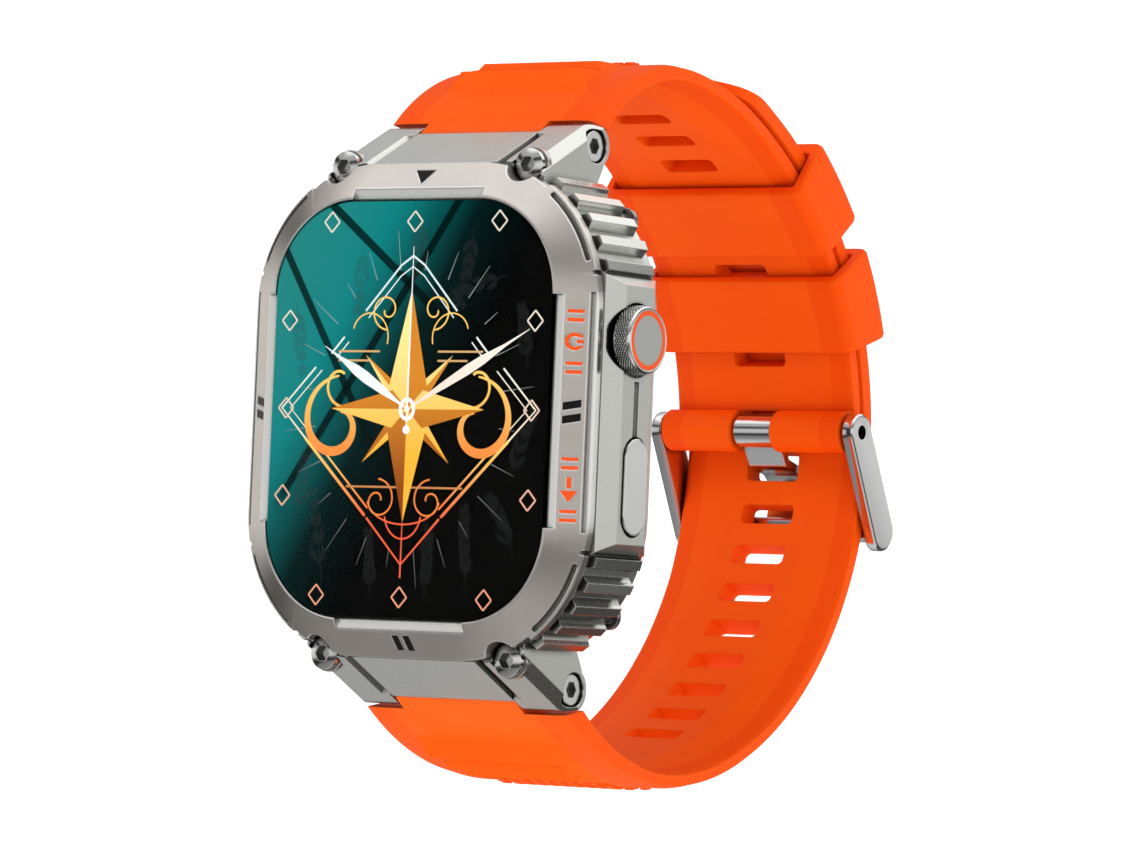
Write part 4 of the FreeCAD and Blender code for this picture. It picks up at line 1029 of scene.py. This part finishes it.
class WATCH_OT_crown(bpy.types.Operator):
    """The knurled crown with its polished rim"""
    bl_idname = "watch.crown"
    bl_label = "Crown"

    def execute(self, context):
        s = context.scene.watch_crown
        bright = steel("crown_rim_steel", (0.88, 0.88, 0.86, 1), 0.16, edge=0.0001, polish=0.07)
        profile = [(21.3, 0.8), (21.3, 2.85), (21.42, 3.08), (21.5, GRIP_R), (23.02, GRIP_R), (23.06, 3.22),
                   (23.24, 3.24), (23.36, 3.14), (23.4, 3.0), (23.4, 2.88), (23.36, 2.85), (23.1, 2.85),
                   (23.1, 0.8)]
        bm = bmesh.new()
        skin(bm, [[mm(x, y, z) for y, z in disc(CROWN_CENTRE, r, 72)] for x, r in profile], closed=True)
        wheel = mesh_object("crown_wheel", bm, bright, 25)
        stands_for(wheel, "crown", "crown_steel", "crown_knob")

        bm = bmesh.new()
        half_along = mm(1.5 / (2 * s.rows + 1))
        half_around = mm(GRIP_R) * math.pi / s.around
        low = [bm.verts.new(p) for p in ((-half_along, -0.00004, 0), (0, -0.00004, -half_around),
                                         (half_along, -0.00004, 0), (0, -0.00004, half_around))]
        tip = bm.verts.new((0, s.height, 0))
        for a, b in zip(low, low[1:] + low[:1]):
            bm.faces.new((a, b, tip))
        bm.faces.new(low[::-1])
        piece = mesh_object("knurl", bm, None, 10)
        knurls = repeat("crown_knurls", rows_round_x(), piece, {
            "Along": s.rows, "Around": s.around * 2, "Radius": mm(GRIP_R), "Centre Y": mm(CROWN_CENTRE[0]),
            "Centre Z": mm(CROWN_CENTRE[1]), "First X": mm(21.52) + half_along * 2, "Pitch X": half_along * 2,
            "First Angle": 0.0, "Pitch Angle": math.pi / s.around, "Stagger": -half_along,
            "Finish": bright}, 10)
        stands_for(knurls, "crown", "crown_steel")

        f = Finish("crown_disc_steel", Metallic=1.0)
        _, y, z = f.axes()
        dy, dz = y - mm(CROWN_CENTRE[0]), z - mm(CROWN_CENTRE[1])
        turns = (f.maths("SQRT", dy * dy + dz * dz) * 9000.0) % 1.0 - 0.5
        tone = f.mix(abs(turns), (0.62, 0.62, 0.60, 1), (0.74, 0.74, 0.72, 1))
        f.set(Base_Color=tone, Roughness=0.3 + f.noise(0.0003) * 0.06,
              Normal=f.bump(abs(turns), 0.0000025, 0.4))
        dress(f.material, "crown_cap")
        return {"FINISHED"}


# ---------------------------------------------------------------- band
def band_finish():
    found = bpy.data.materials.get("strap_silicone")
    return found or silicone("strap_silicone", tuple(bpy.context.scene.watch_band.colour))


class WATCH_OT_upper_strap(bpy.types.Operator):
    """The strap at twelve o'clock, with the roll that holds the buckle"""
    bl_idname = "watch.upper_strap"
    bl_label = "Upper strap"

    def execute(self, context):
        s = context.scene.watch_band
        finish = band_finish()
        crown = s.crown * 1000
        rows = [(*r, crown, 0.42)
                for r in front_stations(BLEND, BLEND_R, BLEND_TO, LUG_INNER, LUG_OUTER, 30)]
        for a in range(46):
            turn = BLEND_TO - a
            fade = min(max((turn - 56) / 10, 0.0), 1.0)
            rows.append((on_circle(BLEND, BLEND_R, turn), on_circle(BLEND, BLEND_R + THICK, turn),
                         crown * fade, 0.3 + 0.12 * fade))
        rows += [(*r, 0.0, 0.3) for r in ring_stations(LOOP, UPPER_R, UPPER_R + THICK, BLEND_FROM, 2.75, 36)]
        strap = strap_body("strap_upper_silicone", rows, finish)
        barrel, cheek, gaps = eye_parts(1)
        combine(strap, gaps, "DIFFERENCE", 3)
        combine(strap, cheek, "UNION", 3)
        combine(strap, barrel, "UNION", 3)

        bm = bmesh.new()
        surface = outer_surface(BLEND, BLEND_R + THICK, BLEND_TO, LUG_OUTER)
        step_bar(bm, surface, 1.9, 2.7, 5.7, 1)
        combine(strap, mesh_object("bars", bm, None), "UNION", 3)
        bm = bmesh.new()
        step_bar(bm, surface, 5.2, 6.0, 9.4, 1, 7.0)
        combine(strap, mesh_object("bars", bm, None), "UNION", 3)

        bm = bmesh.new()
        prism(bm, disc(PIN, 2.2, 64), -11.05, 11.05)
        combine(strap, mesh_object("roll", bm, None), "UNION", 3)
        bm = bmesh.new()
        sector(bm, LOOP, 26, 40, -5, 6.75, -2.55, 2.55)
        for a in (17.0, 25.5, 34.0):
            slot_cutter(bm, LOOP, UPPER_R, a)
        for a in (42.3, 49.7, 57.1, 64.5, 72.0):
            slot_cutter(bm, BLEND, BLEND_R, a)
        combine(strap, mesh_object("slots", bm, None), "DIFFERENCE", 3.6)
        stands_for(strap, "case", "band_silicone", "strap_upper")
        c, r = run_on(BLEND, BLEND_R + THICK, BLEND_TO, LUG_OUTER)[:2]
        start = math.degrees(math.acos((9.9 - c[0]) / r))
        stretches = [(c, r, start, BLEND_TO), (BLEND, BLEND_R + THICK, BLEND_TO - 0.6, 64)]
        for made in rib_panels("strap_upper_ribs", rows_round_x(), stretches, finish, s):
            stands_for(made, "case", "band_silicone")
        return {"FINISHED"}


class WATCH_OT_lower_strap(bpy.types.Operator):
    """The strap at six o'clock, which passes through the buckle and the keepers"""
    bl_idname = "watch.lower_strap"
    bl_label = "Lower strap"

    def execute(self, context):
        s = context.scene.watch_band
        finish = band_finish()
        crown = s.crown * 1000
        inner, outer = (LUG_INNER[0], -LUG_INNER[1]), (LUG_OUTER[0], -LUG_OUTER[1])
        rows = [(*r, crown, 0.45) for r in front_stations(LOOP, LOWER_R, -90, inner, outer, 30)]
        for i in range(129):
            turn = -90 + i
            fade = min(max((-12.0 - turn) / 12, 0.0), 1.0)
            rows.append((on_circle(LOOP, LOWER_R, turn), on_circle(LOOP, LOWER_R + THICK, turn), crown * fade,
                         0.1 + 0.35 * fade))
        rows += [(*r, 0.0, 0.1)
                 for r in ring_stations(BLEND, TAIL_R, TAIL_R + THICK, BLEND_FROM + 1, TAIL_TIP, 36)]
        strap = strap_body("strap_lower_silicone", rows, finish, tip=True)
        barrel, cheek, gaps = eye_parts(-1)
        combine(strap, gaps, "DIFFERENCE", 3)
        combine(strap, cheek, "UNION", 3)
        combine(strap, barrel, "UNION", 3)
        surface = outer_surface(LOOP, LOWER_R + THICK, -90, outer)
        for foot, edge, back, half in ((1.6, 2.3, 5.4, 7.4), (4.7, 5.4, 8.3, 7.1), (7.5, 8.2, 11.0, 6.8)):
            bm = bmesh.new()
            step_bar(bm, surface, foot, edge, back, -1, half)
            combine(strap, mesh_object("bars", bm, None), "UNION", 3)
        bm = bmesh.new()
        slot_cutter(bm, LOOP, LOWER_R, -3.6, long=3.0)
        for i in range(8):
            slot_cutter(bm, LOOP, LOWER_R, -12.2 - i * SLOT_STEP)
        for i in range(5):
            slot_cutter(bm, LOOP, LOWER_R, 4.0 + i * SLOT_STEP)
        for a in (46.0, 53.0, 60.0):
            slot_cutter(bm, BLEND, TAIL_R, a)
        combine(strap, mesh_object("slots", bm, None), "DIFFERENCE", 3.6)
        stands_for(strap, "case", "band_silicone", "strap_lower")
        c, r = run_on(LOOP, LOWER_R + THICK, -90, outer)[:2]
        start = -math.degrees(math.acos((11.6 - c[0]) / r))
        stretches = [(c, r, start, -90), (LOOP, LOWER_R + THICK, -89.0, -68)]
        for made in rib_panels("strap_lower_ribs", rows_round_x(), stretches, finish, s):
            stands_for(made, "case", "band_silicone")
        return {"FINISHED"}


KEEPER_HALF_X = 12.4
KEEPER_UNDER, KEEPER_OVER = 1.3, 1.9


def keeper_loop(half_x, r0, r1, inner_corner, outer_corner, centre, degrees):
    outline = []
    spots = ((1, r1, outer_corner, 0), (-1, r1, outer_corner, 90), (-1, r0, inner_corner, 180),
             (1, r0, inner_corner, 270))
    for side, r, corner, first in spots:
        lift = -corner if r == r1 else corner
        for k in range(9):
            a = math.radians(first + 90 * k / 8)
            outline.append((side * (half_x - corner) + corner * math.cos(a), r + lift + corner * math.sin(a)))
    return [mm(x, *on_circle(centre, r, degrees)) for x, r in outline]


class WATCH_OT_keepers(bpy.types.Operator):
    """The two silicone loops that hold the free end of the band"""
    bl_idname = "watch.keepers"
    bl_label = "Keepers"

    def execute(self, context):
        s = context.scene.watch_band
        finish = band_finish()
        corner = s.wall * 1000
        for body, (start, end), centre, band_r in (("keeper_upper", (38.8, 52.2), BLEND, BLEND_R),
                                                   ("keeper_lower", (18.2, 33.6), LOOP, UPPER_R)):
            outer_band = band_r + 2 * THICK + 0.2
            loops = []
            steps = [(0.0, 0.4), (0.25, 0.12), (0.7, 0.0)]
            turns = [(start + t, i) for t, i in steps]
            turns += [(start + (end - start) * k / 12, 0.0) for k in range(2, 11)]
            turns += [(end - t, i) for t, i in reversed(steps)]
            for turn, inset in turns:
                loops.append(keeper_loop(KEEPER_HALF_X - inset, band_r - KEEPER_UNDER + inset,
                                         outer_band + KEEPER_OVER - inset, corner, corner * 0.75, centre,
                                         turn))
            for turn, grow in ((end, 0.12), (end - 0.5, 0.0), (start + 0.5, 0.0), (start, 0.12)):
                loops.append(keeper_loop(11.25 + grow, band_r - 0.2 - grow, outer_band + 0.2 + grow, 0.35,
                                         0.35, centre, turn))
            bm = bmesh.new()
            skin(bm, loops, closed=True)
            made = mesh_object(body + "_silicone", bm, finish, 28)
            stands_for(made, body, "band_silicone", body)
        return {"FINISHED"}


# ---------------------------------------------------------------- buckle
ARM_INSIDE, ARM_OUTSIDE = 11.3, 12.7
ARM_ROUNDING, BAR_ROUNDING = 0.0003, 0.00035
BAR_HALF_X = 11.6
TONGUE_REST_HALF_X = 2.6


class WATCH_OT_buckle(bpy.types.Operator):
    """The polished buckle: side arms, cross bar, pin and tongue"""
    bl_idname = "watch.buckle"
    bl_label = "Buckle"

    def execute(self, context):
        bright = steel("buckle_steel", (0.80, 0.80, 0.81, 1), 0.10, edge=0.00022, polish=0.05, grain=0.0004,
                       relief=0.000001, spread=0.03)
        dress(bright, "buckle_pin", "buckle_tongue")
        outline = hull(disc(PIN, 1.95, 64) + disc(on_circle(LOOP, 37.3, -13.3), 1.95, 64)
                       + disc(on_circle(LOOP, 37.3, -13.9), 1.75, 64))
        frame_piece = None
        for side in (-1, 1):
            bm = bmesh.new()
            prism(bm, outline, *sorted((side * ARM_INSIDE, side * ARM_OUTSIDE)))
            arm = bevelled(mesh_object("arm", bm, bright, 25), ARM_ROUNDING)
            frame_piece = combine(frame_piece, arm, "UNION", 25) if frame_piece else arm
        bm = bmesh.new()
        sector(bm, LOOP, 36.45, 38.2, -15.0, -11.6, -BAR_HALF_X, BAR_HALF_X, 4)
        bar = bevelled(mesh_object("bar", bm, bright, 25), BAR_ROUNDING)
        combine(frame_piece, bar, "UNION", 25)
        bm = bmesh.new()
        sector(bm, LOOP, 37.3, 40, -17, -9.5, -TONGUE_REST_HALF_X, TONGUE_REST_HALF_X, 4)
        combine(frame_piece, mesh_object("rest", bm, None), "DIFFERENCE", 25)
        frame_piece.name = frame_piece.data.name = "buckle_frame_steel"
        stands_for(frame_piece, "buckle_frame", "buckle_steel", "buckle_frame")
        return {"FINISHED"}


# ---------------------------------------------------------------- stage
TENT_R = 0.75


def area_light(name, place, aim, size, power):
    lamp = bpy.data.lights.new(name, "AREA")
    lamp.shape = "RECTANGLE"
    lamp.size, lamp.size_y = size
    lamp.energy = power
    made = bpy.data.objects.new(name, lamp)
    bpy.context.scene.collection.objects.link(made)
    made.location = place
    made.rotation_euler = (Vector(aim) - Vector(place)).to_track_quat("-Z", "Y").to_euler()


class WATCH_OT_stage(bpy.types.Operator):
    """Floor, light and camera"""
    bl_idname = "watch.stage"
    bl_label = "Stage"

    def execute(self, context):
        s = context.scene.watch_stage
        f = Finish("studio_white", Emission_Strength=0.55, Roughness=0.9, Specular_IOR_Level=0.1)
        pale = f.mix(f.noise(0.2) * 0.5, (0.86, 0.86, 0.86, 1), (0.9, 0.9, 0.9, 1))
        f.set(Base_Color=pale, Emission_Color=pale)
        bm = bmesh.new()
        profile = [(-1.6, s.floor), (0.75, s.floor)]
        for k in range(1, 13):
            a = math.radians(90 * k / 12)
            profile.append((0.75 + 0.5 * math.sin(a), s.floor + 0.5 * (1 - math.cos(a))))
        profile.append((1.25, s.floor + 2.2))
        rows = [[bm.verts.new((x, y, z)) for y, z in profile] for x in (-2.2, 2.2)]
        for i in range(len(profile) - 1):
            bm.faces.new((rows[0][i], rows[1][i], rows[1][i + 1], rows[0][i + 1]))
        mesh = bpy.data.meshes.new("studio_sweep")
        bm.to_mesh(mesh)
        bm.free()
        sweep = bpy.data.objects.new("studio_sweep", mesh)
        bpy.context.scene.collection.objects.link(sweep)
        mesh.materials.append(f.material)
        sweep.visible_glossy = False

        world = bpy.data.worlds.new("studio")
        context.scene.world = world
        world.use_nodes = True
        w = Nodes(world.node_tree)
        w.tree.nodes.clear()
        facing = w.node("ShaderNodeTexCoord").outputs["Generated"]
        split = w.node("ShaderNodeSeparateXYZ", {}, {0: facing})
        height = Amount(w, split.outputs[2])
        sideways = Amount(w, split.outputs[0])
        bands = w.node("ShaderNodeValToRGB", {"stops": [
            (0.0, (0.75, 0.75, 0.75)), (0.36, (0.55, 0.55, 0.55)), (0.44, (0.10, 0.10, 0.10)),
            (0.52, (0.22, 0.22, 0.22)), (0.6, (0.95, 0.95, 0.95)), (0.72, (1.0, 1.0, 1.0)),
            (0.80, (0.35, 0.35, 0.35)), (0.9, (1.1, 1.1, 1.1))]},
            {"Fac": height * 0.5 + 0.5 + sideways * 0.06}).outputs["Color"]
        shine = w.node("ShaderNodeBackground", {}, {"Color": bands, "Strength": 0.72}).outputs[0]
        fill = w.node("ShaderNodeBackground", {}, {"Color": (1, 1, 1, 1), "Strength": 0.62}).outputs[0]
        glossy = w.node("ShaderNodeLightPath").outputs["Is Glossy Ray"]
        both = w.node("ShaderNodeMixShader", {}, {0: glossy, 1: fill, 2: shine}).outputs[0]
        end = w.node("ShaderNodeOutputWorld")
        w.tree.links.new(both, end.inputs["Surface"])

        # a surround seen only in reflections, with light and dark bands for the steel
        f = Finish("studio_tent", Roughness=1.0, Specular_IOR_Level=0.0, Emission_Strength=1.0)
        x, y, z = f.axes()
        round_it = f.maths("ARCTAN2", y, x)
        height = z / TENT_R * 0.5 + 0.5
        bands = f.ramp(height + (round_it * 2.0).sin() * 0.035, [
            (0.0, (0.75, 0.75, 0.75)), (0.10, (0.60, 0.60, 0.60)), (0.20, (0.30, 0.30, 0.30)),
            (0.28, (0.24, 0.24, 0.24)), (0.31, (0.02, 0.02, 0.02)), (0.38, (0.05, 0.05, 0.05)),
            (0.43, (0.66, 0.66, 0.64)), (0.56, (0.80, 0.80, 0.78)), (0.63, (0.42, 0.42, 0.41)),
            (0.67, (0.02, 0.018, 0.016)), (0.72, (0.04, 0.036, 0.032)), (0.76, (0.50, 0.50, 0.50)),
            (0.84, (0.45, 0.45, 0.45)), (0.90, (1.3, 1.3, 1.3)), (1.0, (1.0, 1.0, 1.0))])
        behind = f.ramp(height, [
            (0.0, (0.70, 0.70, 0.70)), (0.10, (0.46, 0.46, 0.46)), (0.20, (0.34, 0.34, 0.34)),
            (0.30, (0.28, 0.28, 0.28)), (0.35, (0.02, 0.018, 0.016)), (0.42, (0.04, 0.036, 0.032)),
            (0.46, (0.70, 0.70, 0.68)), (0.55, (0.90, 0.90, 0.88)), (0.60, (0.50, 0.50, 0.49)),
            (0.64, (0.02, 0.018, 0.016)), (0.70, (0.03, 0.027, 0.024)), (0.74, (0.42, 0.42, 0.42)),
            (0.86, (0.50, 0.50, 0.50)), (1.0, (0.8, 0.8, 0.8))])
        bands = f.mix(y.rise(-0.05, 0.25), bands, behind)
        corner = y.rise(-0.05, 0.2) * x.rise(-0.25, -0.02)
        bands = f.mix(corner * height.rise(0.69, 0.73), bands, (1.5, 1.5, 1.48, 1))
        bands = f.mix(corner * (1.0 - height.rise(0.22, 0.30)), bands, (0.05, 0.045, 0.04, 1))
        around = ((round_it * 2.0 + 2.79).sin() * 0.5 + 0.5) * 0.35 + 0.80
        f.set(Base_Color=(0.0, 0.0, 0.0, 1), Emission_Color=f.mix(1.0, bands, around, "MULTIPLY"))
        bm = bmesh.new()
        bmesh.ops.create_uvsphere(bm, u_segments=64, v_segments=32, radius=TENT_R)
        tent = mesh_object("studio_tent", bm, f.material, 60)
        tent.visible_camera = False
        tent.visible_diffuse = False
        tent.visible_transmission = False
        tent.visible_volume_scatter = False
        tent.visible_shadow = False

        area_light("key", (-0.55, -0.75, 0.75), (0, 0.01, 0.0), (0.55, 0.55), 2.7)
        area_light("side", (0.95, -0.35, 0.25), (0, 0.02, 0.0), (0.35, 0.7), 1.5)
        area_light("top", (0.1, 0.1, 0.95), (0, 0.02, 0.0), (0.7, 0.5), 1.4)
        area_light("low", (0.1, -0.8, -0.08), (0, 0.0, 0.0), (0.7, 0.12), 0.5)

        azimuth, elevation, roll = (math.radians(v) for v in (35.072, -2.379, 2.461))
        back = Vector((math.sin(azimuth) * math.cos(elevation), -math.cos(azimuth) * math.cos(elevation),
                       math.sin(elevation)))
        right = Vector((math.cos(azimuth), math.sin(azimuth), 0))
        up = back.cross(right)
        turned_right = right * math.cos(roll) + up * math.sin(roll)
        turned_up = up * math.cos(roll) - right * math.sin(roll)
        place = Vector((0, 0.02, 0)) + back * s.distance + turned_right * mm(-3.627) + turned_up * mm(0.202)
        lens = bpy.data.cameras.new("camera")
        lens.lens = s.lens
        lens.sensor_width = 36
        lens.clip_start = 0.02
        lens.clip_end = 20
        camera = bpy.data.objects.new("camera", lens)
        bpy.context.scene.collection.objects.link(camera)
        turn = Matrix((turned_right, turned_up, back)).transposed().to_4x4()
        camera.matrix_world = Matrix.Translation(place) @ turn
        context.scene.camera = camera
        context.scene.view_settings.view_transform = "Standard"
        return {"FINISHED"}


OPERATORS = (WATCH_OT_case, WATCH_OT_back, WATCH_OT_inside, WATCH_OT_dial, WATCH_OT_glass, WATCH_OT_crown,
             WATCH_OT_upper_strap, WATCH_OT_lower_strap, WATCH_OT_keepers, WATCH_OT_buckle, WATCH_OT_stage)
SETTINGS = {"watch_band": BandSettings, "watch_case": CaseSettings, "watch_crown": CrownSettings,
            "watch_dial": DialSettings, "watch_stage": StageSettings}


class WATCH_PT_panel(bpy.types.Panel):
    """Sizes, colours and pieces of the watch"""
    bl_idname = "WATCH_PT_panel"
    bl_label = "Sports watch"
    bl_space_type = "VIEW_3D"
    bl_region_type = "UI"
    bl_category = "Watch"

    def draw(self, context):
        for name, kind in SETTINGS.items():
            box = self.layout.box()
            for field in kind.__annotations__:
                box.prop(getattr(context.scene, name), field)
        for kind in OPERATORS:
            self.layout.operator(kind.bl_idname)


def register():
    for kind in (*SETTINGS.values(), *OPERATORS, WATCH_PT_panel):
        bpy.utils.register_class(kind)
    for name, kind in SETTINGS.items():
        setattr(bpy.types.Scene, name, PointerProperty(type=kind))


def unregister():
    for name in SETTINGS:
        delattr(bpy.types.Scene, name)
    for kind in reversed((*SETTINGS.values(), *OPERATORS, WATCH_PT_panel)):
        bpy.utils.unregister_class(kind)


def main():
    register()
    for kind in OPERATORS:
        group, action = kind.bl_idname.split(".")
        getattr(getattr(bpy.ops, group), action)()


if __name__ == "__main__":
    main()
